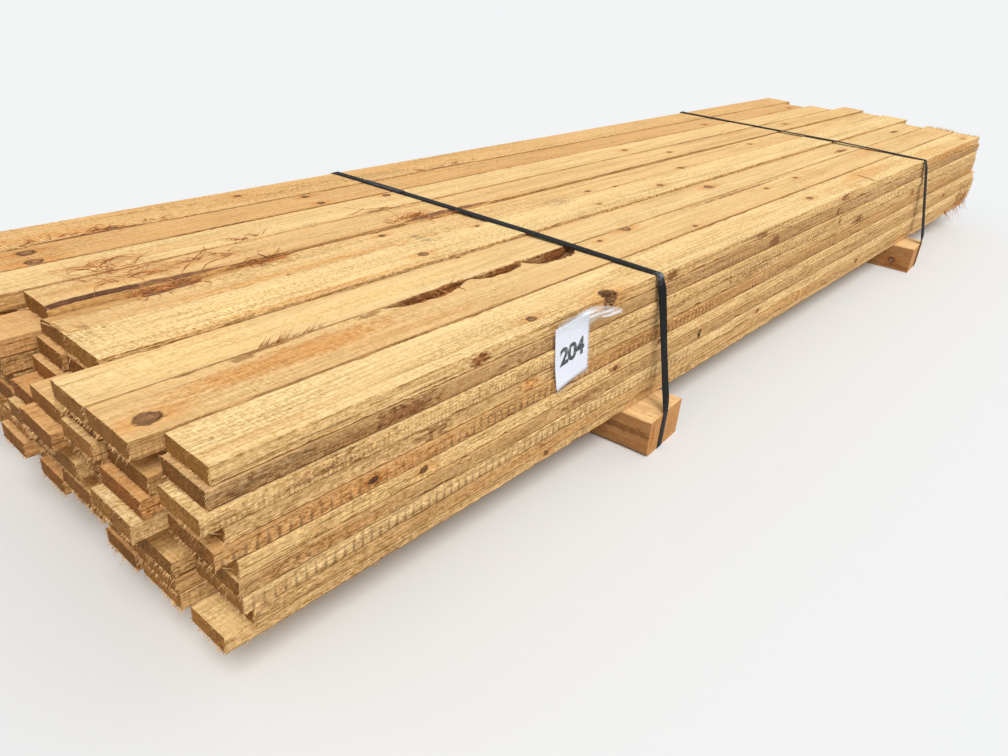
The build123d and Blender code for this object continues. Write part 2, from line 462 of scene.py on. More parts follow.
class Pile:  # the vertices and faces of one piece, and what its materials read
    def __init__(self):
        self.points = []
        self.faces = []
        self.skins = []
        self.reads = {key: [] for key in ("grain", "knot", "stain", "stainTint", "board", "finish")}
        self.count = 0

    def put(self, points, faces, skins, own=None, shift=(0, 0, 0), planes=None, marks=None,
            tone=(0, 0, 0), combs=None, roughness=1.0):
        points = np.asarray(points, float)
        own = points if own is None else own
        sizes = np.array([len(face) for face in faces])
        corners = np.concatenate([np.asarray(face) for face in faces])
        at = own[corners]
        self.points.append(points)
        self.faces += [[self.count + corner for corner in face] for face in faces]
        self.skins += list(skins)
        self.count += len(points)
        self.reads["grain"].append(at + np.asarray(shift))
        starts = np.concatenate([[0], np.cumsum(sizes)[:-1]])
        middles = np.add.reduceat(at, starts) / sizes[:, None]
        knots, stains, tints = nearestMarks(middles, planes, marks or {})
        self.reads["knot"].append(spotAt(at, np.repeat(knots, sizes, axis=0)))
        self.reads["stain"].append(spotAt(at, np.repeat(stains, sizes, axis=0)))
        self.reads["stainTint"].append(np.repeat(tints, sizes, axis=0))
        board = np.tile(np.asarray(tone, float), (len(at), 1))
        if combs is not None:
            board[:, 2] = combs[corners]
        self.reads["board"].append(board)
        self.reads["finish"].append(np.tile((roughness, 0.0, 0.0), (len(at), 1)))

    def build(self, name, materials):
        mesh = bpy.data.meshes.new(name)
        mesh.from_pydata(np.concatenate(self.points).tolist(), [], self.faces)
        for key, parts in self.reads.items():
            kind, field, values = "FLOAT_VECTOR", "vector", np.concatenate(parts)
            if key == "stainTint":
                kind, field, values = "FLOAT_COLOR", "color", np.c_[values, np.ones(len(values))]
            made = mesh.attributes.new(key, kind, "CORNER")
            made.data.foreach_set(field, values.astype(np.float32).ravel())
        for material in materials:
            mesh.materials.append(material)
        mesh.polygons.foreach_set("material_index", np.array(self.skins, np.int32))
        mesh.update()
        return addPiece(name, mesh)


def nearestMarks(middles, planes, marks):  # the knot and the stain that each face shows
    count = len(middles)
    knots = np.tile([*farAway[:2], 0.0, 1.0, 1.0, 0.0, 0.0], (count, 1))
    stains = knots.copy()
    tints = np.ones((count, 3))
    for (kind, plane), spots in marks.items():
        chosen = np.flatnonzero(planes == plane)
        if not len(chosen) or not spots:
            continue
        table = np.array([spot[:5] for spot in spots], float)
        second = 1 if plane == skinAt["face"] else 2
        offAlong = (middles[chosen, None, 0] - table[:, 0]) / table[:, 2]
        offAcross = (middles[chosen, None, second] - table[:, 1]) / table[:, 3]
        best = np.argmin(offAlong ** 2 + offAcross ** 2, axis=1)
        rows = np.c_[table[best, 0], table[best, 1], np.full(len(best), second),
                     table[best, 2], table[best, 3], table[best, 4], np.ones(len(best))]
        if kind == "knot":
            knots[chosen] = rows
        else:
            stains[chosen] = rows
            tints[chosen] = np.array([spot[5] for spot in spots])[best]
    return knots, stains, tints


def spotAt(at, rows):  # where a face's corners lie, measured in the sizes of its mark
    second = np.where(rows[:, 2] == 1, at[:, 1], at[:, 2])
    along = (at[:, 0] - rows[:, 0]) / rows[:, 3]
    across = (second - rows[:, 1]) / rows[:, 4]
    real = rows[:, 6] > 0
    spot = np.c_[along, across, rows[:, 5]]
    return np.where(real[:, None], spot, np.array(farAway))


def drift(along, step, seed):  # smooth random values from -1 to 1
    dice = np.random.default_rng(seed)
    span = along.max() - along.min()
    values = dice.uniform(-1, 1, int(span / step) + 3)
    return np.interp((along - along.min()) / step, np.arange(len(values)), values)


def between(start, end, t):
    return start * (1 - t) + end * t


def loft(count, ring, closed=False):  # the faces between the sections of a tube
    faces = []
    for s in range(count if closed else count - 1):
        after = (s + 1) % count
        for j in range(ring):
            k = (j + 1) % ring
            faces.append([s * ring + j, s * ring + k, after * ring + k, after * ring + j])
    return faces


def chips(places, perMetre, deepest, seed):  # small breaks along an edge
    dice = np.random.default_rng(seed)
    depth = np.zeros(len(places))
    for _ in range(dice.poisson(perMetre * places[-1])):
        middle, half = dice.uniform(0, places[-1]), dice.uniform(5, 26) * mm
        here = deepest * dice.uniform(0.2, 1) ** 2 * (1 - ((places - middle) / half) ** 2)
        depth = np.maximum(depth, here)
    return depth


endStations = np.array([0.0, 1.5, 4, 8]) * mm


def stationsOf(length, steps, extra, dice):  # the sections along a board, denser at its ends
    places = list(endStations)
    for until, step in steps:
        while places[-1] < min(until, length - 10 * mm):
            places.append(places[-1] + step * dice.uniform(0.8, 1.2))
    places = [place for place in places if place < length - 9 * mm]
    places = np.unique(np.concatenate([places, length - endStations, extra]))
    places = places[places <= length]
    keep = np.concatenate([[True], np.diff(places) > 0.35 * mm])
    keep[-1] = True
    return places[keep]


boardLook = {
    "arris": 1.1 * mm,
    "lowerArris": 1.5,            # times the upper one
    "waviness": 0.7 * mm,
    "sideWave": 0.16,             # metres from one bend to the next
    "faceWave": 0.2,
    "roughness": 0.3 * mm,
    "endRoughness": 0.35 * mm,
    "waneStations": 31,
    "deepestWane": 0.9,           # of the board's thickness
    "deepShare": 0.85,            # a natural edge deeper than this covers the side too
    "barkLength": 125 * mm,       # from an end
    "shreds": (105 * mm, 235 * mm),
    "combChange": (-0.62, -0.38),  # X where a row's combs turn into its far ones
    "chipsPerMetre": 7.0,
    "chipDepth": 4.0 * mm,
    "topSpread": (0, 0.05, 0.15, 0.32, 0.5, 0.68, 0.85, 0.95, 1),    # points across a face
    "fineSteps": [(0.55, 8 * mm), (1.3, 11 * mm), (9.0, 20 * mm)],   # up to, length of a step
    "backSteps": [(9.0, 26 * mm)],
    "plainSteps": [(9.0, 90 * mm)],
}


def waneReach(places, wanes, seed):  # how far natural edges reach in, their slope and skin
    reach = np.zeros(len(places))
    slope = np.ones(len(places))
    skins = np.full(len(places), skinAt["edge"])
    for middle, half, depth, degrees, power, skin in wanes:
        here = depth * (1 - np.abs((places - middle) / half) ** power)
        over = here > reach
        reach = np.where(over, here, reach)
        slope = np.where(over, math.tan(math.radians(degrees)), slope)
        skins = np.where(over & (here > 1.5 * mm), skinAt[skin], skins)
    ragged = np.where(skins == skinAt["bast"], 0.08, 0.3)
    uneven = 0.6 * drift(places, 0.022, seed) + 0.4 * drift(places, 0.008, seed + 9)
    return reach * (1 + ragged * uneven), slope, skins


def capOf(node, rows, bends, across, side):  # the faces of an end, from its rim and inner grid
    bottomRow, backRow, topRow, frontRow = rows
    inWidth, inHeight = range(1, across - 1), range(1, side - 1)
    cap = [[bottomRow[i], bottomRow[i + 1], node(i + 1, 1), node(i, 1)] for i in inWidth]
    cap += [[node(i, side - 1), node(i + 1, side - 1), topRow[i + 1], topRow[i]] for i in inWidth]
    cap += [[node(across - 1, j), backRow[j], backRow[j + 1], node(across - 1, j + 1)]
            for j in inHeight]
    cap += [[frontRow[j], node(1, j), node(1, j + 1), frontRow[j + 1]] for j in inHeight]
    cap += [[node(i, j), node(i + 1, j), node(i + 1, j + 1), node(i, j + 1)]
            for i in inWidth for j in inHeight]
    cap.append([frontRow[1], frontRow[0], *bends["frontLow"], bottomRow[0], bottomRow[1],
                node(1, 1)])
    cap.append([bottomRow[-2], bottomRow[-1], *bends["backLow"], backRow[0], backRow[1],
                node(across - 1, 1)])
    cap.append([backRow[-2], backRow[-1], *bends["backHigh"], topRow[-1], topRow[-2],
                node(across - 1, side - 1)])
    cap.append([topRow[1], topRow[0], *bends["frontHigh"], frontRow[-1], frontRow[-2],
                node(1, side - 1)])
    return cap


def press(points, centre, radius, inward, dice):  # the hollow that a broken-out knot leaves
    away = points - np.array(centre)
    inside = np.linalg.norm(away, axis=1) < radius
    gap = 1 - np.linalg.norm(away[inside], axis=1) / radius
    aimed = away[inside] + np.array(inward) * (gap * radius)[:, None]
    aimed /= np.maximum(np.linalg.norm(aimed, axis=1), 1e-6)[:, None]
    uneven = 1 + 0.16 * (dice.random(inside.sum()) - 0.5)
    points[inside] = np.array(centre) + aimed * (radius * uneven)[:, None]


def longSkins(kinds, places, front, back):  # what each face along a board shows
    look = boardLook
    firstFront, firstBack = kinds.index("front"), kinds.index("back")
    (frontSkins, frontDeep), (backSkins, backDeep) = front, back
    frontSkins[(frontSkins == skinAt["bark"]) & (places > look["barkLength"])] = skinAt["pocket"]
    shredFrom, shredTo = look["shreds"]
    shredShare = (places - shredFrom) / (shredTo - shredFrom)
    shredded = (shredShare > 0) & (shredShare < 1) & (backSkins == skinAt["bast"])
    backSkins[shredded] = skinAt["pocket"]
    under = dict.fromkeys((skinAt["bark"], skinAt["pocket"]), skinAt["bast"])
    skins = []
    for s in range(len(places) - 1):
        onFront, onBack = frontSkins[s], backSkins[s]
        waned = {"back": onBack, "front": onFront,
                 "backSide": onBack if backDeep[s] else skinAt["edge"],
                 "frontSide": under.get(onFront, onFront) if frontDeep[s] else skinAt["edge"]}
        for j, place in enumerate(kinds):
            skin = waned.get(place, skinAt.get(place))
            if place == "front" and j > firstFront:
                skin = under.get(skin, skin)
            # the shredded patch is widest in its middle
            if (place == "back" and shredded[s] and skin == skinAt["pocket"]
                    and j - firstBack >= 3.4 * math.sin(math.pi * shredShare[s]) ** 0.7):
                skin = skinAt["bast"]
            skins.append(skin)
    return skins


def sawnBoard(pile, low, high, seed, kind, frontWanes=(), backWanes=(), extra=(), marks=None,
              tone=(0, 0, 0), dents=(), slots=(), roughness=1.0, farComb=0.0):
    look = boardLook
    dice = np.random.default_rng(seed)
    length, width, height = high - low
    isTop, fine = kind == "top", kind in ("top", "front")
    spread = look["topSpread"] if isTop else np.linspace(0, 1, 5)
    across, side, bend = len(spread) - 1, 4, 2 if isTop else 1
    steps = look["fineSteps" if fine else "backSteps" if kind == "back" else "plainSteps"]
    places = stationsOf(length, steps, np.asarray(extra, float), dice)
    count = len(places)
    wave, sideWave, faceWave = look["waviness"], look["sideWave"], look["faceWave"]
    front = wave * (1 + drift(places, sideWave, seed + 1)) * 0.5
    back = width - wave * (1 + drift(places, sideWave, seed + 2)) * 0.5
    bottom = wave * 0.5 * (1 + drift(places, faceWave, seed + 3)) + 0.1 * mm
    top = height - wave * 0.6 * (1 + drift(places, faceWave, seed + 4))
    arrises = look["arris"] * (0.4 + dice.random((4, count)) * 1.2)
    arrises[:2] *= look["lowerArris"]
    if fine or kind == "back":
        arrises += [chips(places, look["chipsPerMetre"], look["chipDepth"], seed + 20 + corner)
                    for corner in range(4)]
    frontReach, frontSlope, frontSkins = waneReach(places, frontWanes, seed + 5)
    backReach, backSlope, backSkins = waneReach(places, backWanes, seed + 6)
    deepest = look["deepestWane"] * height
    frontDown = np.minimum(np.maximum(arrises[3], frontReach * frontSlope), deepest)
    backDown = np.minimum(np.maximum(arrises[2], backReach * backSlope), deepest)
    frontIn = np.maximum(arrises[3], frontReach)
    backIn = np.maximum(arrises[2], backReach)

    def frontAt(z):
        return front + np.maximum(0, frontReach - (top - z) / frontSlope)

    def backAt(z):
        return back - np.maximum(0, backReach - (top - z) / backSlope)

    def bent(start, end, bulge):  # points between two corners of the section
        return [start + (end - start) * t + bulge * math.sin(math.pi * t)
                for t in np.arange(1, bend + 1) / (bend + 1)]

    lowFront, lowBack = bottom + arrises[0], bottom + arrises[1]
    highFront, highBack = top - frontDown, top - backDown
    hollow = np.where(backSkins == skinAt["pocket"], -0.22, 0.1) * np.maximum(backReach, 1e-5)
    ys = [between(frontAt(lowFront) + arrises[0], backAt(lowBack) - arrises[1], t) for t in spread]
    zs = [bottom] * (across + 1)
    ys += bent(backAt(lowBack) - arrises[1], backAt(lowBack), 0.25 * arrises[1])
    zs += bent(bottom, lowBack, -0.25 * arrises[1])
    rise = [between(lowBack, highBack, t) for t in np.linspace(0, 1, side + 1)]
    ys += [backAt(z) for z in rise]
    zs += rise
    ys += bent(backAt(highBack), back - backIn, hollow * 0.6)
    zs += bent(highBack, top, hollow)
    ys += [between(back - backIn, front + frontIn, t) for t in spread]
    zs += [top] * (across + 1)
    ys += bent(front + frontIn, frontAt(highFront), -0.12 * frontIn)
    zs += bent(top, highFront, 0.12 * frontDown)
    fall = [between(highFront, lowFront, t) for t in np.linspace(0, 1, side + 1)]
    ys += [frontAt(z) for z in fall]
    zs += fall
    ys += bent(frontAt(lowFront), frontAt(lowFront) + arrises[0], -0.25 * arrises[0])
    zs += bent(lowFront, bottom, -0.25 * arrises[0])
    ys, zs = np.array(ys).T, np.array(zs).T
    ring = ys.shape[1]
    xs = np.repeat(places[:, None], ring, axis=1)
    first = {"bottom": 0, "back": across + 1 + bend, "top": across + 2 + 2 * bend + side,
             "front": 2 * across + 3 + 3 * bend + side}
    rough = look["roughness"]
    ys[:, first["back"]:first["back"] + side + 1] -= rough * dice.random((count, side + 1))
    ys[:, first["front"]:first["front"] + side + 1] += rough * dice.random((count, side + 1))
    zs[:, first["top"] + 1:first["top"] + across] -= 0.6 * rough * dice.random((count, across - 1))
    for at, half, depth in slots:
        inside = np.abs(places - at) < half
        ys[inside, first["front"] + 1:first["front"] + side] += depth
    frayed = look["endRoughness"]
    xs[0] += frayed * (dice.random(ring) * 2 - 0.4)
    xs[-1] -= frayed * (dice.random(ring) * 2 - 0.4)

    # the grid inside each end
    points = [np.stack([xs, ys, zs], axis=-1).reshape(-1, 3)]
    inner = {}
    total = count * ring
    for end, row in zip(nearOrFar, (0, count - 1)):
        grid = []
        for i in range(1, across):
            for j in range(1, side):
                inner[end, i, j] = total + len(grid)
                y = between(ys[row, first["bottom"] + i], ys[row, first["top"] + across - i],
                          j / side)
                z = between(zs[row, first["front"] + side - j], zs[row, first["back"] + j],
                          i / across)
                grid.append((places[row] + frayed * 2.4 * (dice.random() - 0.5), y, z))
        points.append(np.array(grid))
        total += len(grid)
    points = np.concatenate(points)
    for dent in dents:
        press(points, *dent, dice)
    fade = np.clip(1.35 - 1.35 * points[:, 2] / height, 0, 1)
    points += np.array(low)
    combs = fade * np.interp(points[:, 0], look["combChange"], (tone[2], farComb))

    # the lower arrises take the dark end skin: painted shade in the gaps between the rows
    kinds = [place for place, times in (
        ("face", across), ("end", bend + 1), ("backSide", side), ("back", bend + 1),
        ("face", across), ("front", bend + 1), ("frontSide", side), ("end", bend + 1))
        for _ in range(times)]
    faces = loft(count, ring)
    skins = longSkins(kinds, places, (frontSkins, frontDown > look["deepShare"] * height),
                      (backSkins, backDown > look["deepShare"] * height))
    for end, row in zip(nearOrFar, (0, count - 1)):
        base = row * ring
        rows = ([base + first["bottom"] + i for i in range(across + 1)],
                [base + first["back"] + j for j in range(side + 1)],
                [base + first["top"] + across - i for i in range(across + 1)],
                [base + first["front"] + side - j for j in range(side + 1)])
        bends = {key: [base + (last + 1 + b) % ring for b in range(bend)] for key, last in (
            ("backLow", first["bottom"] + across), ("backHigh", first["back"] + side),
            ("frontHigh", first["top"] + across), ("frontLow", first["front"] + side))}
        cap = capOf(lambda i, j: inner[end, i, j], rows, bends, across, side)
        if end == "near":
            cap = [face[::-1] for face in cap]
        faces += cap
        skins += [skinAt["end"]] * len(cap)

    pith = np.array([seed * 3.71 % 90, -low[1] - width * dice.uniform(-0.6, 1.6),
                     -low[2] - height * dice.uniform(-5.5, -1.4)])
    planes = np.array(skins)
    pile.put(points, faces, skins, shift=pith, planes=planes, marks=marks, tone=tone, combs=combs,
             roughness=roughness)


def spikes(pile, bases, headings, lengths, widths, dice, skin="splinter"):
    forward = headings / np.linalg.norm(headings, axis=1)[:, None]
    helper = np.where(np.abs(forward[:, 2:]) < 0.9, (0.0, 0.0, 1.0), (0.0, 1.0, 0.0))
    sideways = np.cross(helper, forward)
    sideways /= np.linalg.norm(sideways, axis=1)[:, None]
    upward = np.cross(forward, sideways)
    turn = dice.uniform(0, math.tau, len(bases))
    rims = [bases + widths[:, None] * (np.cos(angle)[:, None] * sideways
                                       + 0.45 * np.sin(angle)[:, None] * upward)
            for angle in (turn, turn + math.tau / 3, turn + 2 * math.tau / 3)]
    tips = bases + forward * lengths[:, None]
    points = np.stack([*rims, tips], axis=1).reshape(-1, 3)
    shapes = np.array([[0, 2, 1], [0, 1, 3], [1, 2, 3], [2, 0, 3]])
    faces = (4 * np.arange(len(bases))[:, None, None] + shapes).reshape(-1, 3).tolist()
    pile.put(points, faces, [skinAt[skin]] * len(faces))


fringeLook = {
    "perMetre": 780,              # along the lower edge of an end
    "length": (1.5 * mm, 7 * mm),
    "longShare": 0.08,
    "long": (7 * mm, 18 * mm),
    "width": (0.4 * mm, 1.1 * mm),
    "stubsPerMetre": 760,         # on the face of an end
    "teethPerMetre": 190,         # broad splinters along the lower edge
    "tooth": (3 * mm, 9 * mm),
    "toothWidth": (1.0 * mm, 2.4 * mm),
    "sliver": (5, 22),            # millimetres, on the long lower edges
    "sliverWidth": (0.3, 0.8),
    "frontSlivers": 60,           # on each board
    "backSlivers": 40,
    "nearUpper": 0.3,             # times as many fibres along an end's upper edge
    "farUpper": 0.4,
    "farTop": 1.0,
}


def endFringe(pile, low, high, seed, outward, upper):
    dice = np.random.default_rng(seed + 77)
    look = fringeLook
    x = low[0] if outward < 0 else high[0]
    width, height = high[1] - low[1], high[2] - low[2]
    furry = dice.uniform(0.3, 1.0)
    bases, headings, sizes, skins = [], [], [], []
    edges = (("low", width, 1.0, "splinter"), ("front", height, 0.9, "splinter"),
             ("back", height, 0.7, "splinter"), ("high", width, upper, "splinter"),
             ("middle", width, look["stubsPerMetre"] / look["perMetre"], "end"))
    for edge, run, share, skin in edges:
        count = int(run * look["perMetre"] * share * furry)
        t = dice.random(count)
        y = {"front": np.full(count, low[1] + 0.8 * mm),
             "back": np.full(count, high[1] - 0.8 * mm)}.get(edge, low[1] + t * width)
        z = {"low": np.full(count, low[2] + 1.2 * mm), "high": np.full(count, high[2] - 1.2 * mm),
             "middle": low[2] + height * dice.random(count)}.get(edge, low[2] + t * height)
        droop = {"low": -dice.uniform(0.3, 2.2, count),
                 "high": dice.uniform(-0.3, 0.9, count)}.get(edge, dice.uniform(-1.2, 0.1, count))
        lean = {"front": -0.7, "back": 0.7}.get(edge, 0.0) + dice.normal(0, 0.3, count)
        bases.append(np.c_[np.full(count, x - outward * 0.8 * mm), y, z])
        headings.append(np.c_[np.full(count, outward * 1.0), lean, droop])
        size = dice.uniform(*look["length"], count)
        if edge == "low":
            isLong = dice.random(count) < look["longShare"]
            size = np.where(isLong, dice.uniform(*look["long"], count), size)
        sizes.append(size * (0.6 if edge in ("high", "middle") else 1.0))
        skins.append(skin)
    for parts in zip(bases, headings, sizes, skins):
        if len(parts[0]):
            spikes(pile, *parts[:3], dice.uniform(*look["width"], len(parts[0])), dice, parts[3])
    count = int(width * look["teethPerMetre"] * furry)
    y = low[1] + 3 * mm + (width - 6 * mm) * dice.random(count)
    roots = np.c_[np.full(count, x - outward * 1.5 * mm), y, np.full(count, low[2] + 2.6 * mm)]
    lean, droop = dice.normal(0, 0.35, count), -dice.uniform(0.1, 1.1, count)
    spikes(pile, roots, np.c_[np.full(count, outward * 1.0), lean, droop],
           dice.uniform(*look["tooth"], count), dice.uniform(*look["toothWidth"], count), dice)


def sideSlivers(pile, low, high, seed, outward, count):  # lifted along a long lower edge
    dice = np.random.default_rng(seed + 91)
    y = low[1] if outward < 0 else high[1]
    x = low[0] + (high[0] - low[0]) * dice.random(count) ** 1.3
    z = low[2] + (high[2] - low[2]) * np.where(dice.random(count) < 0.7, 0.06, dice.random(count))
    bases = np.c_[x, np.full(count, y - outward * 0.3 * mm), z]
    headings = np.c_[np.where(dice.random(count) < 0.6, -1.0, 1.0),
                     outward * dice.uniform(0.08, 0.5, count), -dice.uniform(0.0, 0.6, count)]
    spikes(pile, bases, headings, dice.uniform(*fringeLook["sliver"], count) * mm,
           dice.uniform(*fringeLook["sliverWidth"], count) * mm, dice)


# Where the boards are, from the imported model


def verticesOf(node):
    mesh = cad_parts[node].data
    places = np.empty(len(mesh.vertices) * 3, np.float32)
    mesh.vertices.foreach_get("co", places)
    return mesh, places.reshape(-1, 3).astype(float)


def boardBoxes(node):  # the lowest and highest corner of each board, from the front
    mesh, places = verticesOf(node)
    ends = np.empty(len(mesh.edges) * 2, np.int32)
    mesh.edges.foreach_get("vertices", ends)
    spans = []
    for start, stop in sorted(map(tuple, np.sort(places[ends.reshape(-1, 2), 1], axis=1))):
        if spans and start < spans[-1][1] + 0.5 * mm:
            spans[-1][1] = max(spans[-1][1], stop)
        else:
            spans.append([start, stop])
    boxes = []
    for start, stop in spans:
        own = places[(places[:, 1] > start - 0.1 * mm) & (places[:, 1] < stop + 0.1 * mm)]
        boxes.append((own.min(axis=0), own.max(axis=0)))
    return boxes


# What the boards show. Millimetres along the stack from the near strap's corner and across
# from its front, at the knots' and stains' middles

markOrigin = np.array([-0.68221, -0.40332, 0.0])
topKnots = [  # along, across, radius
    (-302, 31, 8), (778, 50, 9), (322, 108, 5), (-838, 128, 14), (181, 186, 11), (76, 175, 5),
    (760, 155, 6), (937, 156, 7), (-207, 276, 5), (638, 249, 12), (-254, 311, 9), (-64, 363, 5),
    (266, 311, 5), (333, 390, 6), (424, 375, 6), (525, 318, 8), (736, 383, 8), (854, 490, 7),
    (749, 571, 8), (-242, 430, 6), (-752, 632, 12), (-78, 607, 8), (-221, 634, 7), (-746, 675, 12),
    (-597, 710, 9), (-222, 684, 7), (-326, 759, 6), (1415, 216, 7), (1526, 172, 7), (1950, 229, 8),
    (2100, 35, 7), (1210, 420, 7), (1640, 500, 8), (1330, 640, 8), (1990, 640, 7),
]
tints = {
    "red": (0.85, 0.62, 0.42), "brown": (0.46, 0.30, 0.22), "grey": (0.60, 0.62, 0.66),
    "bright": (1.10, 1.10, 1.04), "orange": (0.92, 0.66, 0.44), "hole": (0.05, 0.04, 0.03),
    "ash": (0.58, 0.50, 0.44), "tan": (0.84, 0.70, 0.56), "dirt": (0.20, 0.17, 0.16),
    "rust": (0.52, 0.34, 0.25), "cream": (1.22, 1.28, 1.36),
}
topStains = [  # along, across, half length, half width, strength, tint
    (-625, 152, 190, 27, 0.85, "red"), (-450, 120, 200, 14, 0.4, "tan"),
    (1200, 60, 210, 34, 0.6, "red"), (675, 182, 280, 6, 0.8, "brown"),
    (-686, 184, 22, 9, 1.0, "ash"), (-479, 184, 20, 9, 1.0, "ash"),
    (-640, 190, 60, 5, 0.8, "brown"), (-395, 176, 50, 4, 0.7, "brown"),
    (-197, 362, 13, 8, 0.7, "grey"), (-197, 384, 13, 22, 0.7, "grey"),
    (203, 362, 45, 9, 0.5, "grey"), (203, 385, 45, 10, 0.5, "grey"),
    (1700, 40, 260, 30, 0.5, "red"), (900, 50, 60, 30, 0.4, "tan"), (1010, 30, 40, 26, 0.5, "red"),
    (1420, 50, 60, 34, 0.4, "tan"), (1480, 170, 160, 30, 0.4, "red"),
    (1900, 170, 150, 30, 0.4, "tan"), (2140, 60, 60, 30, 0.5, "red"),
    (1050, 150, 90, 20, 0.4, "tan"), (1526, 172, 28, 6, 1.0, "dirt"),
    (1415, 216, 60, 12, 0.8, "brown"), (1950, 229, 50, 10, 0.8, "brown"),
    (-450, 235, 240, 22, 0.8, "bright"), (-600, 320, 260, 40, 0.4, "bright"),
    (-720, 240, 160, 45, 0.8, "bright"), (-640, 500, 190, 20, 0.5, "tan"),
    (0, 735, 120, 18, 0.5, "grey"), (-560, 575, 220, 20, 0.4, "tan"),
    (-500, 288, 330, 7, 0.6, "orange"), (-220, 20, 70, 16, 0.5, "tan"),
    (-760, 28, 90, 14, 0.4, "tan"), (0, 60, 60, 30, 0.35, "tan"), (400, 60, 200, 20, 0.35, "tan"),
    (-430, 384, 300, 8, 0.5, "orange"), (-700, 730, 130, 22, 0.5, "orange"),
    (-300, 735, 160, 18, 0.4, "tan"),
]
# dark slots in the side (layer from the top, along, above the middle, half length, half height)
# and a crosswise crack on the first board's top (along, across, half length, half width)
sideHoles = [(5, -631, 1, 8, 6), (6, -546, 3, 8, 6), (2, 869, 0, 4, 11)]
topCracks = [(1143, 57, 3, 9), (1138, 43, 3, 9), (1133, 30, 3, 9), (1128, 17, 3, 9),
             (1123, 4, 3, 9)]
crackStations = range(1115, 1154, 3)
sideKnots = [  # layer counted from the top, along, above the board's middle, radius
    (6, -96, 0, 5), (6, 44, 6, 5), (10, -262, 0, 5), (8, 470, 0, 6),
    (4, 1500, 0, 7), (9, 1100, 0, 6), (7, 1886, 7, 7),
]
sideStains = [  # layer, along, above the middle, half length, half height, strength, tint
    (1, -435, 0, 24, 12, 1.0, "brown"), (1, 67, 0, 26, 12, 0.9, "brown"),
    (1, 435, 0, 30, 10, 0.8, "brown"), (1, 909, 2, 36, 12, 0.9, "brown"),
    (1, 1850, 0, 330, 14, 0.8, "red"), (2, -577, 0, 66, 14, 0.8, "brown"),
    (2, -660, -3, 60, 9, 0.5, "brown"), (2, 503, 0, 30, 13, 0.9, "brown"),
    (2, -760, 0, 90, 16, 0.5, "grey"), (4, -522, 0, 34, 12, 0.6, "brown"),
    (4, 398, 0, 110, 10, 0.7, "ash"), (4, 1042, 0, 40, 13, 0.9, "brown"),
    (4, -325, 0, 26, 12, 0.7, "orange"), (3, -700, 0, 60, 10, 0.5, "brown"),
    (6, -96, 0, 22, 9, 0.7, "brown"), (7, -190, 2, 60, 8, 0.6, "brown"),
    (5, -640, 0, 190, 14, 0.35, "orange"), (7, -700, 0, 120, 10, 0.5, "red"),
    (5, 40, 0, 320, 14, 0.3, "orange"), (9, -300, 0, 300, 9, 0.4, "red"),
    (8, 120, 0, 60, 8, 0.4, "grey"), (3, 884, 0, 12, 12, 0.8, "brown"),
    (9, 700, 0, 260, 10, 0.4, "red"), (2, 1350, 0, 560, 30, 0.9, "cream"),
    (3, 1400, 0, 420, 30, 0.4, "cream"),
]
topLook = {                           # the nine boards on top, from the front
    "tones": [0.45, 0.05, 0.0, 0.50, -0.1, -0.15, 0.05, -0.50, -0.45],
    "reds": [0.0, 0.18, -0.1, 0.0, 0.1, 0.15, 0.0, 0.35, 0.15],
    "roughs": [0.95, 0.6, 0.5, 1.25, 1.0, 0.7, 0.7, 0.9, 1.6],
    "knotLength": 1.3,                # times its width
}
sideLook = {                          # the ten boards of the front, from the top
    "tones": [0.05, -0.50, 0.55, 0.20, -0.05, 0.65, -0.25, 0.90, 0.05, 0.55],
    "reds": [0.10, -0.5, 0.0, -0.1, 0.35, 0.0, -0.2, -0.1, 0.1, 0.1],
    "combs": [-0.1, -0.5, -0.9, 0.1, 1.0, 0.0, 0.2, 0.9, -0.3, 0.05],
    "farCombs": [-0.1, 0.8, 0.7, -0.2, 1.0, 0.1, 0.2, 0.3, -0.3, 0.05],
    "knotLength": 1.2,
}
chanceLook = {                        # boards of which the photo shows nothing
    "tone": (-0.6, 0.6),
    "red": (-0.2, 0.9),
    "comb": (-0.8, 0.8),
    "roughness": (0.7, 1.3),
    "knotGap": 0.8,
    "knotRadius": (3.5, 8),
}
waneCuts = [  # column, edge, middle from the end, half run, depth, degrees, roundness, what shows
    (0, "front", 2740, 225, 5, 40, 2, "edge"), (1, "back", 515, 92, 20, 35, 2.5, "pocket"),
    (1, "back", 677, 64, 20, 35, 3, "pocket"), (1, "back", 815, 75, 31, 30, 4, "pocket"),
    (4, "back", 0, 420, 31, 15, 2, "bast"), (5, "front", 46, 234, 16, 70, 2, "bark"),
    (5, "front", 760, 130, 14, 60, 2.5, "pocket"), (8, "front", 285, 120, 6, 55, 2, "bark"),
    (8, "front", 1115, 112, 6, 55, 2, "bark"),
]
pocketRust = {
    "column": 2,
    "below": 9 * mm,
    "halfHeight": 22 * mm,
    "spots": [(553, 112), (715, 72), (853, 86)],    # from the end, half length
}
edgeKnot = {
    "fromEnd": 711 * mm,
    "below": 6 * mm,
    "radius": 17 * mm,
    "inward": (0, 0.7, -0.5),
    "halfOnTop": 20 * mm,
    "halfOnSide": 19 * mm,
}
slotKnot = {"layer": 4, "fromEnd": 1029 * mm, "width": 9 * mm, "height": 20 * mm, "depth": 20 * mm}
darkSize = 2 * mm                     # the size of a mark that is a hole or a crack


def marksOf(skin, knots, holes, stains, longer):  # what a side shows, from rows of the tables
    spots = [(x, up, radius * mm * longer, radius * mm, radius * mm)
             for x, up, (radius,) in knots]
    spots += [(x, up, half * mm, wide * mm, darkSize) for x, up, (half, wide) in holes]
    return {("knot", skinAt[skin]): spots,
            ("stain", skinAt[skin]): [(x, up, half * mm, wide * mm, strength, tints[tint])
                                      for x, up, (half, wide, strength, tint) in stains]}


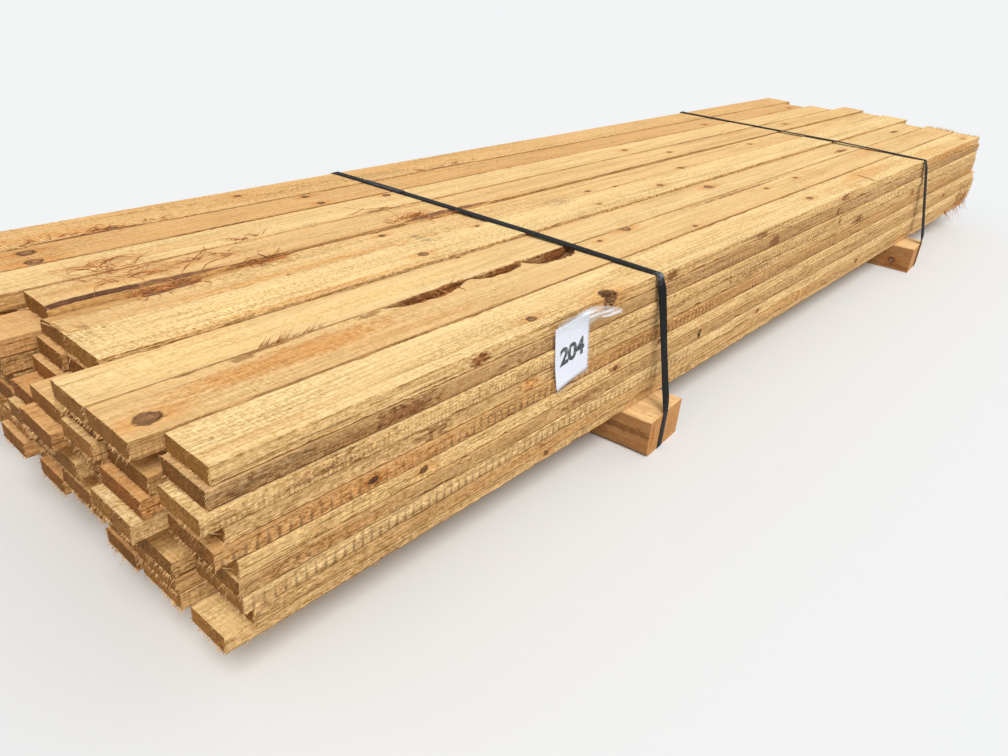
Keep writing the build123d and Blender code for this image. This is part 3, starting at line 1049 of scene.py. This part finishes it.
def onTop(rows, low, high):  # the rows of a table that lie on one top board
    for along, across, *rest in rows:
        x, y = markOrigin[:2] + np.array([along, across]) * mm
        if low[1] <= y <= high[1]:
            yield x, y, rest


def onSide(rows, row, low, high):  # the rows of a table that lie on one front board
    middle = (low[2] + high[2]) / 2
    return [(markOrigin[0] + along * mm, middle + up * mm, rest)
            for at, along, up, *rest in rows if at == row]


def chanceKnots(low, high, dice, skin):  # knots where the photo shows nothing
    second = 1 if skin == "face" else 2
    found = []
    for x in np.arange(low[0] + 0.2, high[0] - 0.1, chanceLook["knotGap"]):
        radius = dice.uniform(*chanceLook["knotRadius"]) * mm
        place = dice.uniform(low[second] + radius, high[second] - radius)
        found.append((x + dice.uniform(-0.2, 0.2), place, radius * 1.2, radius, radius))
    return found


def makeLayer(layer):
    pile = Pile()
    row = 11 - layer                  # counted from the top
    boxes = boardBoxes(f"layer_{layer}")
    for column, (low, high) in enumerate(boxes):
        seed = 100 * layer + column
        dice = np.random.default_rng(seed)
        isTop, isFront, isBack = row == 1, column == 0, column == len(boxes) - 1
        marks, extra, dents, slots = {}, [], [], []
        tone, redness, comb = (dice.uniform(*chanceLook[key]) for key in ("tone", "red", "comb"))
        farComb = comb
        if isTop:
            tables = (onTop(rows, low, high) for rows in (topKnots, topCracks, topStains))
            marks.update(marksOf("face", *tables, topLook["knotLength"]))
            tone, redness = topLook["tones"][column], topLook["reds"][column]
        elif layer == 1:
            marks["knot", skinAt["face"]] = chanceKnots(low, high, dice, "face")
        if isFront:
            tables = (onSide(rows, row, low, high) for rows in (sideKnots, sideHoles, sideStains))
            marks.update(marksOf("edge", *tables, sideLook["knotLength"]))
            comb, farComb = sideLook["combs"][row - 1], sideLook["farCombs"][row - 1]
            if not isTop:
                tone, redness = sideLook["tones"][row - 1], sideLook["reds"][row - 1]
        elif isBack:
            marks["knot", skinAt["edge"]] = chanceKnots(low, high, dice, "edge")
        elif isTop and column == pocketRust["column"]:
            marks["stain", skinAt["edge"]] = [
                (low[0] + at * mm, high[2] - pocketRust["below"], half * mm,
                 pocketRust["halfHeight"], 1.0, tints["rust"])
                for at, half in pocketRust["spots"]]

        # the natural edges, and stations where a board needs them
        cuts = {edge: [(middle * mm, half * mm, depth * mm, degrees, power, skin)
                       for at, side, middle, half, depth, degrees, power, skin in waneCuts
                       if isTop and at == column and side == edge] for edge in ("front", "back")}
        for middle, half, *_ in cuts["front"] + cuts["back"]:
            run = np.linspace(middle - half, middle + half, boardLook["waneStations"])
            extra += [at for at in run if at > 0]
        if isTop and isFront:
            extra += [markOrigin[0] + along * mm - low[0] for along in crackStations]
            at, below, radius = edgeKnot["fromEnd"], edgeKnot["below"], edgeKnot["radius"]
            extra += list(np.linspace(at - 1.2 * radius, at + 1.2 * radius, 21))
            dents.append(((at, 0, high[2] - low[2] - below), radius, edgeKnot["inward"]))
            onFace, onEdge = edgeKnot["halfOnTop"], edgeKnot["halfOnSide"]
            marks["knot", skinAt["face"]].append(
                (low[0] + at, low[1] + below, onFace, radius, radius))
            marks["knot", skinAt["edge"]].append(
                (low[0] + at, high[2] - below, onEdge, onEdge, radius))
        for x, _, (halfLength, _) in onSide(sideHoles, row, low, high) if isFront else []:
            extra += [x - low[0] + off * halfLength * mm for off in (-1, -0.4, 0.4, 1)]
        if isFront and layer == slotKnot["layer"]:
            at, half = slotKnot["fromEnd"], slotKnot["width"] / 2
            extra += [at - half - 0.5 * mm, at - half, at, at + half, at + half + 0.5 * mm]
            slots.append((at, half + 0.1 * mm, slotKnot["depth"]))
            # a near-black stain over the slot: painted shade in its recess
            marks["stain", skinAt["edge"]].append(
                (low[0] + at, (low[2] + high[2]) / 2, half * 1.6, slotKnot["height"] * 0.6, 1.0,
                 tints["hole"]))

        kind = "top" if isTop else "front" if isFront else "back" if isBack else "plain"
        rough = topLook["roughs"][column] if isTop else dice.uniform(*chanceLook["roughness"])
        sawnBoard(pile, low, high, seed, kind, cuts["front"], cuts["back"], extra, marks,
                  (tone, redness, comb), dents, slots, rough, farComb)
        endFringe(pile, low, high, seed, -1, fringeLook["nearUpper"])
        endFringe(pile, low, high, seed + 5000, 1, fringeLook["farTop" if isTop else "farUpper"])
        if isFront:
            sideSlivers(pile, low, high, seed, -1, fringeLook["frontSlivers"])
        elif isBack:
            sideSlivers(pile, low, high, seed, 1, fringeLook["backSlivers"])
    piece = pile.build(f"boards_layer_{layer}", boardSkins)
    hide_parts(f"layer_{layer}")


for layer in range(1, 11):
    makeLayer(layer)
print("boards made")

# Bearers

bearerLook = {
    "length": 914.4 * mm,
    "width": 127 * mm,
    "height": 76.2 * mm,
    "skew": 5.2,                  # degrees off square
    "grooveWidth": 20.2 * mm,
    "grooveDepth": 1.5 * mm,
    "step": 13 * mm,
    "arris": 1.6 * mm,
    "arrisChange": 0.6 * mm,
    "chipsPerMetre": 6,
    "chipDepth": 4 * mm,
    "jitter": 0.16 * mm,
    "litTopTone": 1.0,               # painted light: pale on top; painted shade: brown on the side towards the near end, where the stack shades it
    "shadedNearTone": -1.1,
    "otherTone": 0.1,
    "endTone": 0.2,
}
bearerWoodLook = {
    **edgeLook,
    "pale": (0.92, 0.64, 0.31),
    "tan": (0.40, 0.20, 0.075),
    "sawAmount": 0.16,
    "fuzzAmount": 0.8,
    "streakAmount": 0.55,
    "tickAmount": 0.5,
    "relief": 0.0014,
}
bearerEndLook = {
    **bearerWoodLook,
    "pale": (0.74, 0.40, 0.150),
    "tan": (0.46, 0.20, 0.070),
    "ringGap": 0.0050,
    "lateAmount": 0.5,
    "fuzzAmount": 0.9,
}
bearerFace = cedar("bearerWood", bearerWoodLook)
bearerEnd = cedar("bearerEnd", bearerEndLook)
# node, wane, groove off the middle, its degrees off the bearer, seed, knots and stains on the
# side that faces the near end: from the front end, height, half sizes, then strength and tint.
# The last is the stain on the front end, placed across the timber
bearerFeatures = [
    ("bearer_near", 15 * mm, -9 * mm, 0.6, 11, [],
     [(60, 46, 130, 9, 0.9, "ash"), (40, 22, 160, 5, 0.6, "tan")],
     (-50, 40, 9, 34, 1.0, "red")),
    ("bearer_far", 0, 32.3 * mm, 2.8, 12, [(55, 28, 10), (150, 50, 8)],
     [(120, 50, 60, 10, 0.7, "ash"), (30, 12, 60, 8, 0.6, "brown")],
     (40, 40, 12, 30, 0.6, "tan")),
]


def makeBearer(node, wane, grooveAt, grooveTurn, seed, knots, stains, endStain):
    look = bearerLook
    low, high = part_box(node)
    middle = (low + high) / 2
    dice = np.random.default_rng(seed)
    half, height, deep = look["width"] / 2, look["height"], look["grooveDepth"]
    places = stationsOf(look["length"], [(9.0, look["step"])], np.array([]), dice)
    arrises = (look["arris"] + look["arrisChange"] * dice.random(len(places))
               + chips(places, look["chipsPerMetre"], look["chipDepth"], seed))
    points = []
    for place, arris in zip(places, arrises):
        groove = grooveAt - place * math.tan(math.radians(grooveTurn))
        left, right = groove - look["grooveWidth"] / 2, groove + look["grooveWidth"] / 2
        shaved = wane + 1.5 * mm * math.sin(place * 31) if wane else arris
        outline = [
            (-half + shaved, 0), (left, 0), (left, deep), (right, deep), (right, 0),
            (half - arris, 0), (half, arris), (half, height * 0.35), (half, height * 0.7),
            (half, height - arris), (half - arris, height), (half * 0.5, height), (0, height),
            (-half * 0.5, height), (-half + arris, height), (-half, height - arris),
            (-half, height * 0.7), (-half, height * 0.42), (-half, shaved),
            (-half + shaved * 0.3, shaved * 0.3)]
        for across, up in outline:
            jitter = dice.normal(0, look["jitter"], 3)
            points.append((across + jitter[0], place + jitter[1], max(0, up + jitter[2])))
    ring, runs = len(outline), len(places) - 1
    topRun, nearRun = range(10, 14), range(15, 18)    # places in the outline
    faces = [[a, d, c, b] for a, b, c, d in loft(len(places), ring)]
    faces.append(list(range(ring)))
    faces.append([runs * ring + j for j in range(ring)][::-1])
    skins = [0] * (ring * runs) + [1, 1]
    planes = [skinAt["edge"] if j in nearRun else -1 for j in range(ring)] * runs
    planes += [skinAt["end"], -1]
    points = np.array(points)
    turn = math.radians(look["skew"])
    local = points - np.array([0, look["length"] / 2, 0])
    placed = np.c_[local[:, 0] * math.cos(turn) - local[:, 1] * math.sin(turn) + middle.x,
                   local[:, 0] * math.sin(turn) + local[:, 1] * math.cos(turn) + middle.y,
                   local[:, 2]]
    own = points[:, [1, 0, 2]]        # the grain runs along the bearer
    knots, stains = ([(at * mm, up * mm, rest) for at, up, *rest in rows]
                     for rows in (knots, stains))
    marks = marksOf("edge", knots, [], stains, sideLook["knotLength"])
    pile = Pile()
    pile.put(placed, faces, skins, own=own, shift=(seed * 2.3, 25 * mm, 60 * mm),
             planes=np.array(planes), marks=marks, tone=(0.15, 0.15, 0.0))
    sizes = [len(face) for face in faces]
    frontEnd = slice(sum(sizes[:-2]), sum(sizes[:-1]))
    across, up, wide, tall, strength, tint = endStain
    at = points[faces[-2]] / mm
    pile.reads["stain"][0][frontEnd] = np.c_[(at[:, 0] - across) / wide, (at[:, 2] - up) / tall,
                                             np.full(ring, strength)]
    pile.reads["stainTint"][0][frontEnd] = tints[tint]
    # the tones paint light on the top and shade on the side towards the near end
    tones = [look["litTopTone"] if j in topRun else look["shadedNearTone"] if j >= nearRun[0]
             else look["otherTone"] for j in range(ring)] * runs
    pile.reads["board"][0][:, 0] = np.repeat(tones + [look["endTone"]] * 2, sizes)
    piece = pile.build(f"{node}_timber", [bearerFace, bearerEnd])
    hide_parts(node)


for features in bearerFeatures:
    makeBearer(*features)
print("bearers made")

# Straps

strapLook = {
    "black": (0.007, 0.007, 0.008),
    "dusty": (0.055, 0.050, 0.044),
    # pale: a painted highlight at the bend together with wear
    "wornAndGlint": (0.36, 0.37, 0.38),
    "emboss": 1.7 * mm,
    "width": 19 * mm,
    "thickness": 0.9 * mm,
    "step": 9 * mm,
    "sway": 1.6 * mm,
    "weldFrom": 0.262,            # Y where the welded overlap starts on top of the stack
    "weldTo": 0.382,
    "bearerTop": 0.079,           # heights between which the band may hang loose
    "looseTop": 0.335,
    "looseLift": 0.9 * mm,
    "topSway": 0.5 * mm,
    "cornerGlintAndWear": 8 * mm,
    "crown": 0.12 * mm,           # how much thinner the band's edges are
    "weldGap": 0.02 * mm,
    "weldShift": 1.1 * mm,
    "weldWear": 0.25,
    "weldCrown": 0.15 * mm,
}


def strapPlastic(name, look):
    paint = Paint(name, Specular_IOR_Level=0.10)
    place = paint.read("grain")
    along, across = paint.split(place)[:2]
    wornAndGlint, rubbed = paint.split(paint.read("board"))[:2]
    wear = paint.stretchedNoise(place, (45, 120, 60), 5.0, 0.65)
    scratch = paint.stretchedNoise(place, (30, 1400, 40))
    turn = math.tau / look["emboss"]
    weave = ((along + across) * turn).sine() * ((along - across) * turn).sine()
    dust = ((wear - 0.56) * 4 + (scratch - 0.5) * 1.6 + rubbed * 0.2).clamped()
    colour = paint.mix(dust * 0.7, look["black"], look["dusty"])
    # the pale colour on the bent corner is a painted highlight as well as wear; the weld's overlap
    # is worn paler too
    colour = paint.mix((wornAndGlint * wear.ramp(0.42, 5)).clamped(), colour, look["wornAndGlint"])
    return paint.finish(Base_Color=colour, Roughness=0.40 + 0.4 * dust,
                        Normal=paint.bump(0.6 * weave + 0.6 * scratch, 0.5 * mm, 0.9))


plastic = strapPlastic("strapPlastic", strapLook)


def hullOf(points):  # convex outline, counter-clockwise
    ordered = sorted(set(map(tuple, np.round(points, 6))))

    def half(run):
        line = []
        for point in run:
            while len(line) > 1 and ((line[-1][0] - line[-2][0]) * (point[1] - line[-2][1])
                                     - (line[-1][1] - line[-2][1]) * (point[0] - line[-2][0])) <= 0:
                line.pop()
            line.append(point)
        return line[:-1]

    return half(ordered) + half(ordered[::-1])


def strapPath(node, skew):  # the outline across the band, and how far it leans along the stack
    places = verticesOf(node)[1]
    turn = math.radians(skew)
    wide = np.array([math.cos(turn), math.sin(turn), 0])
    deep = np.array([-math.sin(turn), math.cos(turn), 0])
    section = np.c_[places @ deep, places[:, 2]]
    slope = np.linalg.lstsq(np.c_[section, np.ones(len(section))], places @ wide, rcond=None)[0]
    return np.array(hullOf(section)), slope, wide, deep


def ribbon(pile, walk, wide, deep, low, high, closed, crown):
    # walk: outline points, outward directions, distance, middle, sway, twist and wear, by station
    outline, outward, distance, middle, sway, twist, wear = walk
    half = strapLook["width"] / 2
    spots = np.linspace(-1, 1, 5)
    ring = [(t, high - crown * t * t) for t in spots] + [(t, low) for t in spots[::-1]]
    count, size = len(outline), len(ring)
    points, own = [], []
    for i in range(count):
        for t, offset in ring:
            v, z = outline[i] + outward[i] * (offset + twist[i] * t)
            along = middle[i] + sway[i] + t * half
            points.append(deep * v + wide * along + np.array([0, 0, z]))
            own.append((distance[i], t * half, offset))
    faces = loft(count, size, closed)
    tones = [wear[face[0] // size] for face in faces]
    if not closed:
        faces.append(list(range(size))[::-1])
        faces.append([(count - 1) * size + j for j in range(size)])
        tones += [wear[0], wear[-1]]
    pile.put(points, faces, [0] * len(faces), own=np.array(own))
    sizes = [len(face) for face in faces]
    pile.reads["board"][-1] = np.repeat([(tone, 0.5, 0) for tone in tones], sizes, axis=0)


def makeStrap(node, skew, seed, glintAndWearAtCorner, turned, raised):
    look = strapLook
    outline, slope, wide, deep = strapPath(node, skew)
    walked = []
    for start, stop in zip(outline, np.roll(outline, -1, axis=0)):
        steps = max(1, round(np.linalg.norm(stop - start) / look["step"]))
        walked += [start + (stop - start) * step / steps for step in range(steps)]
    walked = np.array(walked)
    tangent = np.roll(walked, -1, axis=0) - np.roll(walked, 1, axis=0)
    tangent /= np.linalg.norm(tangent, axis=1)[:, None]
    outward = np.c_[tangent[:, 1], -tangent[:, 0]]
    steps = np.linalg.norm(np.diff(walked, axis=0), axis=1)
    distance = np.concatenate([[0], np.cumsum(steps)])
    middle = np.c_[walked, np.ones(len(walked))] @ slope
    # loose on the sides, tight on top and in the grooves of the bearers
    height, upward = walked[:, 1], np.clip(outward[:, 1], 0, 1)
    side = np.clip(np.abs(outward[:, 0]) * 1.6 - 0.6, 0, 1)
    side *= np.clip((height - look["bearerTop"]) / 0.02, 0, 1)
    ends = np.clip((look["looseTop"] - height) / 0.03, 0, 1)
    sway = look["sway"] * side * drift(distance, 0.07, seed)
    sway += look["topSway"] * upward * drift(distance, 0.1, seed + 1)
    lift = look["looseLift"] * side * ends * (1 + drift(distance, 0.09, seed + 2)) / 2
    twist = side * ends * (turned + look["looseLift"] * drift(distance, 0.11, seed + 3))
    flat = upward * (height > 0.3)
    lift = lift + np.abs(twist) + raised * flat * (1 + drift(distance, 0.12, seed + 4)) / 2
    # round the top front corner the band is paler: a painted highlight at the bend together with
    # wear
    corner = walked[np.argmax(height - walked[:, 0])]
    away = np.linalg.norm(walked - corner, axis=1) / look["cornerGlintAndWear"]
    wear = np.clip(1.5 - away, 0, 1) * glintAndWearAtCorner
    band = [walked + outward * lift[:, None], outward, distance, middle, sway, twist, wear]
    pile = Pile()
    ribbon(pile, band, wide, deep, -look["thickness"], 0.0, True, look["crown"])
    # the welded overlap lies on top, near the back
    y = walked[:, 0] * deep[1]
    over = np.flatnonzero((outward[:, 1] > 0.9) & (y > look["weldFrom"]) & (y < look["weldTo"])
                          & (height > 0.2))
    over = over[np.argsort(distance[over])]
    weld = [part[over] for part in band]
    weld[4] = weld[4] + look["weldShift"]
    weld[6] = weld[6] + look["weldWear"]
    ribbon(pile, weld, wide, deep, look["weldGap"], look["thickness"], False, look["weldCrown"])
    piece = pile.build(f"{node}_band", [plastic])
    piece.data.shade_smooth()
    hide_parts(node)


# the last numbers are how far the bands turn on the sides, and stand off the top
makeStrap("strap_near", 5.8, 31, 1.0, 2.2 * mm, 0.0)
makeStrap("strap_far", 8.0, 37, 0.35, 3.0 * mm, 1.6 * mm)
print("straps made")

# Lot tag: a printed card in a clear sleeve

tagLook = {
    "lean": 7.7,                  # degrees
    "width": 92 * mm,
    "height": 118 * mm,
    "margin": 4 * mm,
    "number": "204",
    "numberHeight": 30 * mm,
    "boldness": 1.5 * mm,
    "numberDrop": 3 * mm,         # under the card's middle
    "numberLift": 0.72 * mm,
    "numberWidth": 0.80,          # at most, of the card's
    "letterSpacing": 0.92,
    "paper": (0.80, 0.82, 0.88),
    "ink": (0.012, 0.012, 0.013),
    "lift": 6 * mm,               # how far the lower corner curls off the boards
}


def plainPaint(name, colour, roughness):
    paint = Paint(name, Roughness=roughness, Specular_IOR_Level=0.4)
    place = paint.add("ShaderNodeTexCoord", {}, out="Object")
    mottle = paint.noise(place, 220, 4.0)
    shade = paint.mix(mottle, tuple(0.93 * part for part in colour), colour)
    folds = paint.noise(place, 26, 2.0)
    return paint.finish(Base_Color=shade, Normal=paint.bump(folds, 0.9 * mm, 0.5))


def clearFilm(name, least, most):  # clear plastic, with white painted glare along its creases
    paint = Paint(name, Roughness=0.14, Specular_IOR_Level=0.7)
    place = paint.add("ShaderNodeTexCoord", {}, out="Object")
    creases = paint.stretchedNoise(place, (20, 30, 150), 3.0, 0.6)
    # white painted glare along the creases, which also makes the film less clear there
    paintedGlare = creases.ramp(0.50, 6)
    colour = paint.mix(paintedGlare, (0.80, 0.83, 0.86), (0.97, 0.98, 1.0))
    return paint.finish(Base_Color=colour, Alpha=least + (most - least) * paintedGlare,
                        Normal=paint.bump(creases, 2.5 * mm, 0.7))


paper = plainPaint("tagCard", tagLook["paper"], 0.55)
ink = plainPaint("tagInk", tagLook["ink"], 0.5)
sleeve = clearFilm("tagSleeve", 0.03, 0.12)
film = clearFilm("tagFlap", 0.14, 0.62)
tagLow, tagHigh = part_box("lot_tag")
tagPlace = Matrix.Translation((tagLow + tagHigh) / 2) @ Matrix.Rotation(
    math.radians(-tagLook["lean"]), 4, "Y")


def tagBend(across, up):  # how far the tag stands off the boards
    low = max(0.0, -up / (tagLook["height"] / 2)) ** 2
    left = 0.5 - across / tagLook["width"]
    return -tagLook["lift"] * low * left - 0.6 * mm * math.sin(across * 70 + up * 25)


def thinSheet(name, outline, material, thickness, offset, bend=tagBend, columns=16, rows=20):
    points, faces = [], []
    for level in (0, 1):
        for row in range(rows + 1):
            for column in range(columns + 1):
                x, z = outline(column / columns, row / rows)
                y = bend(x, z) - offset - level * thickness
                points.append(tuple(tagPlace @ Vector((x, y, z))))
    grid = lambda level, row, column: (level * (rows + 1) + row) * (columns + 1) + column
    for row in range(rows):
        for column in range(columns):
            square = [(row, column), (row, column + 1), (row + 1, column + 1), (row + 1, column)]
            faces.append([grid(1, *corner) for corner in square])
            faces.append([grid(0, *corner) for corner in square][::-1])
    rim = ([(0, c) for c in range(columns)] + [(r, columns) for r in range(rows)]
           + [(rows, c) for c in range(columns, 0, -1)] + [(r, 0) for r in range(rows, 0, -1)])
    for here, after in zip(rim, rim[1:] + rim[:1]):
        faces.append([grid(0, *here), grid(0, *after), grid(1, *after), grid(1, *here)])
    mesh = bpy.data.meshes.new(name)
    mesh.from_pydata(points, [], faces)
    mesh.materials.append(material)
    mesh.shade_smooth()
    piece = addPiece(name, mesh)
    return piece


def rectangle(west, east, south, north):
    return lambda s, t: (west + (east - west) * s, south + (north - south) * t)


halfWide, halfHigh, margin = tagLook["width"] / 2, tagLook["height"] / 2, tagLook["margin"]
cardShape = rectangle(-halfWide + margin, halfWide - margin, -halfHigh + margin * 1.5,
                      halfHigh - margin)
sleeveShape = rectangle(-halfWide, halfWide, -halfHigh, halfHigh)
card = thinSheet("tag_card", cardShape, paper, thickness=0.3 * mm, offset=0.3 * mm)
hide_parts("lot_tag")
thinSheet("tag_sleeve", sleeveShape, sleeve, thickness=0.1 * mm, offset=1.1 * mm)


def flapBend(across, up):  # the loose flap is crumpled and stands off the boards
    away = max(0.0, (across + 20 * mm) / halfWide)
    folds = 1.6 * math.sin(across * 120 + up * 190) + 1.1 * math.sin(across * 60 - up * 420)
    return -3 * mm - 4 * mm * away + folds * mm * min(1.0, away)


def flapOutline(s, t):  # from over the card's top to a drooping point on the right
    upper = 1.12 - 0.56 * (max(0.0, s - 0.5) / 0.5) ** 1.3
    lower = 0.86 - 0.33 * s - 0.09 * s * s + 0.02 * math.sin(s * 23)
    return (-0.92 + 3.3 * s) * halfWide, (lower + (upper - lower) * t) * halfHigh


thinSheet("tag_flap", flapOutline, film, thickness=0.12 * mm, offset=1.6 * mm, bend=flapBend,
          columns=48, rows=14)


def makeNumber():
    curve = bpy.data.curves.new("tag_number", "FONT")
    curve.body = tagLook["number"]
    curve.align_x, curve.align_y = "CENTER", "CENTER"
    curve.size = tagLook["numberHeight"] * 1.4
    curve.space_character = tagLook["letterSpacing"]
    curve.extrude = 0.08 * mm
    curve.offset = tagLook["boldness"]
    sample = bpy.data.objects.new("number", curve)
    bpy.context.scene.collection.objects.link(sample)
    mesh = bpy.data.meshes.new_from_object(
        sample.evaluated_get(bpy.context.evaluated_depsgraph_get()))
    bpy.data.objects.remove(sample)
    widest = max(abs(vertex.co.x) for vertex in mesh.vertices)
    narrow = min(1.0, tagLook["numberWidth"] * (halfWide - margin) / widest)
    for vertex in mesh.vertices:
        x, up, out = vertex.co
        x *= narrow
        up -= tagLook["numberDrop"]
        y = tagBend(x, up) - tagLook["numberLift"] - out
        vertex.co = tagPlace @ Vector((x, y, up))
    mesh.materials.clear()
    mesh.materials.append(ink)
    addPiece("tag_number", mesh)


makeNumber()
print("tag made")

# Loose bark strings and splinters on the stack

looseStrings = [  # middle along, across, half length, half width, how many, longest, most lift
    (-680, 530, 34, 50, 46, 90, 10), (-655, 443, 50, 12, 150, 60, 8), (-480, 447, 34, 8, 80, 45, 7),
    (-545, 498, 45, 14, 16, 100, 12), (-445, 545, 34, 8, 10, 36, 6), (-630, 712, 120, 6, 26, 40, 5),
    (-146, 470, 40, 6, 60, 34, 8), (180, 712, 110, 5, 14, 36, 6), (-60, 452, 60, 6, 36, 40, 7),
    (-330, 186, 26, 4, 20, 36, 8), (-180, 540, 60, 8, 6, 90, 4),
]
# row from the top, column, place, middle along, half length, how many, lengths, heading, skin, and
# how many times the usual width
tufts = [
    (1, 2, "front edge", -606, 52, 34, (9, 27), (0.8, -0.1, 0.75), "red", 1.0),
    (1, 2, "front edge", -290, 22, 18, (7, 20), (0.8, -0.2, 0.7), "red", 1.0),
    (1, 2, "front edge", -190, 50, 26, (4, 12), (0.9, 0.1, 0.5), "red", 1.0),
    (1, 2, "front edge", -60, 60, 26, (4, 10), (0.9, 0.1, 0.4), "red", 1.0),
    (1, 4, "front edge", -810, 4, 3, (48, 66), (-0.43, 0.90, 0.07), "splinter", 2.6),
    (1, 4, "front edge", -790, 12, 9, (18, 44), (-0.7, 0.6, 0.15), "splinter", 1.5),
    (1, 0, "side", -128, 16, 30, (4, 12), (0.2, -0.9, 0.1), "splinter", 1.0),
    (3, 0, "side", -660, 100, 40, (8, 24), (-0.8, -0.5, -0.2), "splinter", 1.0),
    (3, 0, "side", -820, 18, 30, (5, 14), (-0.6, -0.6, 0.5), "splinter", 1.0),
    (4, 0, "side", -610, 160, 50, (8, 26), (-0.8, -0.5, 0.1), "splinter", 1.0),
    (8, 0, "side", -790, 30, 30, (8, 26), (-0.9, -0.5, -0.3), "splinter", 1.0),
    (6, 0, "side", -640, 160, 50, (6, 18), (-0.9, -0.4, -0.2), "splinter", 1.0),
    (9, 0, "side", -300, 400, 30, (8, 22), (-0.9, -0.3, -0.3), "splinter", 1.0),
    (1, 0, "side", 930, 40, 40, (6, 18), (0.6, -0.5, 0.3), "splinter", 1.0),
    (1, 0, "top", 2195, 12, 90, (4, 14), (0.8, 0.0, 0.5), "splinter", 1.0),
    (1, 1, "top", 2200, 20, 120, (5, 18), (0.8, 0.1, 0.6), "splinter", 1.0),
    (7, 0, "side", 2160, 60, 16, (14, 50), (0.6, -0.3, -0.8), "splinter", 1.8),
    (8, 0, "side", 2150, 70, 30, (16, 66), (0.5, -0.3, -0.8), "splinter", 2.2),
    (9, 0, "side", 2140, 80, 26, (16, 70), (0.4, -0.3, -0.8), "red", 2.4),
    (10, 0, "side", 2110, 90, 24, (18, 76), (0.3, -0.3, -0.5), "red", 2.4),
]


def strand(pile, start, heading, length, width, lift, dice):  # one bark string, three-sided
    steps, ring = 6, 3
    points = []
    place = Vector(start)
    direction = Vector(heading).normalized()
    swing = dice.normal(0, 0.35)
    for step in range(steps + 1):
        t = step / steps
        thick = width * (1 - 0.85 * t)
        sideways = Vector((0, 0, 1)).cross(direction).normalized()
        for corner in range(ring):
            angle = math.tau * corner / ring
            around = math.cos(angle) * sideways + Vector((0, 0, math.sin(angle)))
            points.append(tuple(place + thick * around))
        place = place + direction * (length / steps)
        place.z = start[2] + width + lift * math.sin(math.pi * min(1, t * 1.1))
        direction = (Matrix.Rotation(swing + dice.normal(0, 0.18), 3, "Z") @ direction).normalized()
    faces = loft(steps + 1, ring)
    faces.append([2, 1, 0])
    faces.append([steps * ring + corner for corner in range(ring)])
    pile.put(points, faces, [0] * len(faces))


def surfaceAt(tops, x, y):  # how high the top boards reach at a place, with their waned edges
    column = min(range(len(tops)), key=lambda i: max(tops[i][0][1] - y, y - tops[i][1][1]))
    low, high = tops[column]
    drop = 0.0
    for at, side, middle, half, depth, degrees, power, _ in waneCuts:
        if at == column:
            reach = depth * mm * (1 - abs((x - low[0] - middle * mm) / (half * mm)) ** power)
            inside = y - low[1] if side == "front" else high[1] - y
            drop = max(drop, (reach - inside) * math.tan(math.radians(degrees)))
    return high[2] - drop


def makeFibres():
    dice = np.random.default_rng(7)
    pile = Pile()
    tops = boardBoxes("layer_10")
    for along, across, halfLength, halfWidth, count, longest, most in looseStrings:
        for _ in range(count):
            x = along + dice.uniform(-halfLength, halfLength)
            y = across + dice.uniform(-halfWidth, halfWidth)
            place = markOrigin + np.array([x, y, 0]) * mm
            height = surfaceAt(tops, place[0], place[1]) - 1.5 * mm
            heading = (1 if dice.random() < 0.6 else -1, dice.normal(0, 0.35), 0)
            length = dice.uniform(0.35, 1) * longest * mm
            width, lift = dice.uniform(0.5, 1.4) * mm, dice.uniform(0.5, most) * mm
            strand(pile, (place[0], place[1], height), heading, length, width, lift, dice)
    pile.build("bark_fibres", [redSplinter])
    pile = Pile()
    for row, column, place, along, half, count, lengths, heading, skin, wide in tufts:
        low, high = boardBoxes(f"layer_{11 - row}")[column]
        x = markOrigin[0] + (along + dice.uniform(-half, half, count)) * mm
        inward = dice.uniform(0, 6 * mm, count)
        x = np.clip(x, low[0] + 2 * mm + inward, high[0] - 2 * mm - inward)
        depth = dice.uniform(0.8 * mm, 1.4 * mm, count)
        y = {"front edge": low[1] + depth + 1 * mm, "side": low[1] + depth}.get(
            place, low[1] + (high[1] - low[1]) * dice.random(count))
        z = {"side": low[2] + (high[2] - low[2]) * dice.uniform(0.05, 0.9, count)}.get(
            place, high[2] - depth - 0.6 * mm)
        headings = np.array(heading) + dice.normal(0, 0.22, (count, 3))
        spikes(pile, np.c_[x, y, z], headings, dice.uniform(*lengths, count) * mm,
               dice.uniform(0.4, 1.1, count) * wide * mm, dice, skin)
    pile.build("loose_splinters", boardSkins)


makeFibres()
print("loose fibres made")

# Floor

floorPaint = Paint("paleFloor", Roughness=0.9, Specular_IOR_Level=0.1,
                   Base_Color=(*lightLook["floorColour"], 1))
half = lightLook["floorSize"] / 2
floorMesh = bpy.data.meshes.new("floor")
floorMesh.from_pydata([(-half, -half, 0), (half, -half, 0), (half, half, 0), (-half, half, 0)], [],
                      [[0, 1, 2, 3]])
floorMesh.materials.append(floorPaint.material)
floor = bpy.data.objects.new("floor", floorMesh)
bpy.context.scene.collection.objects.link(floor)
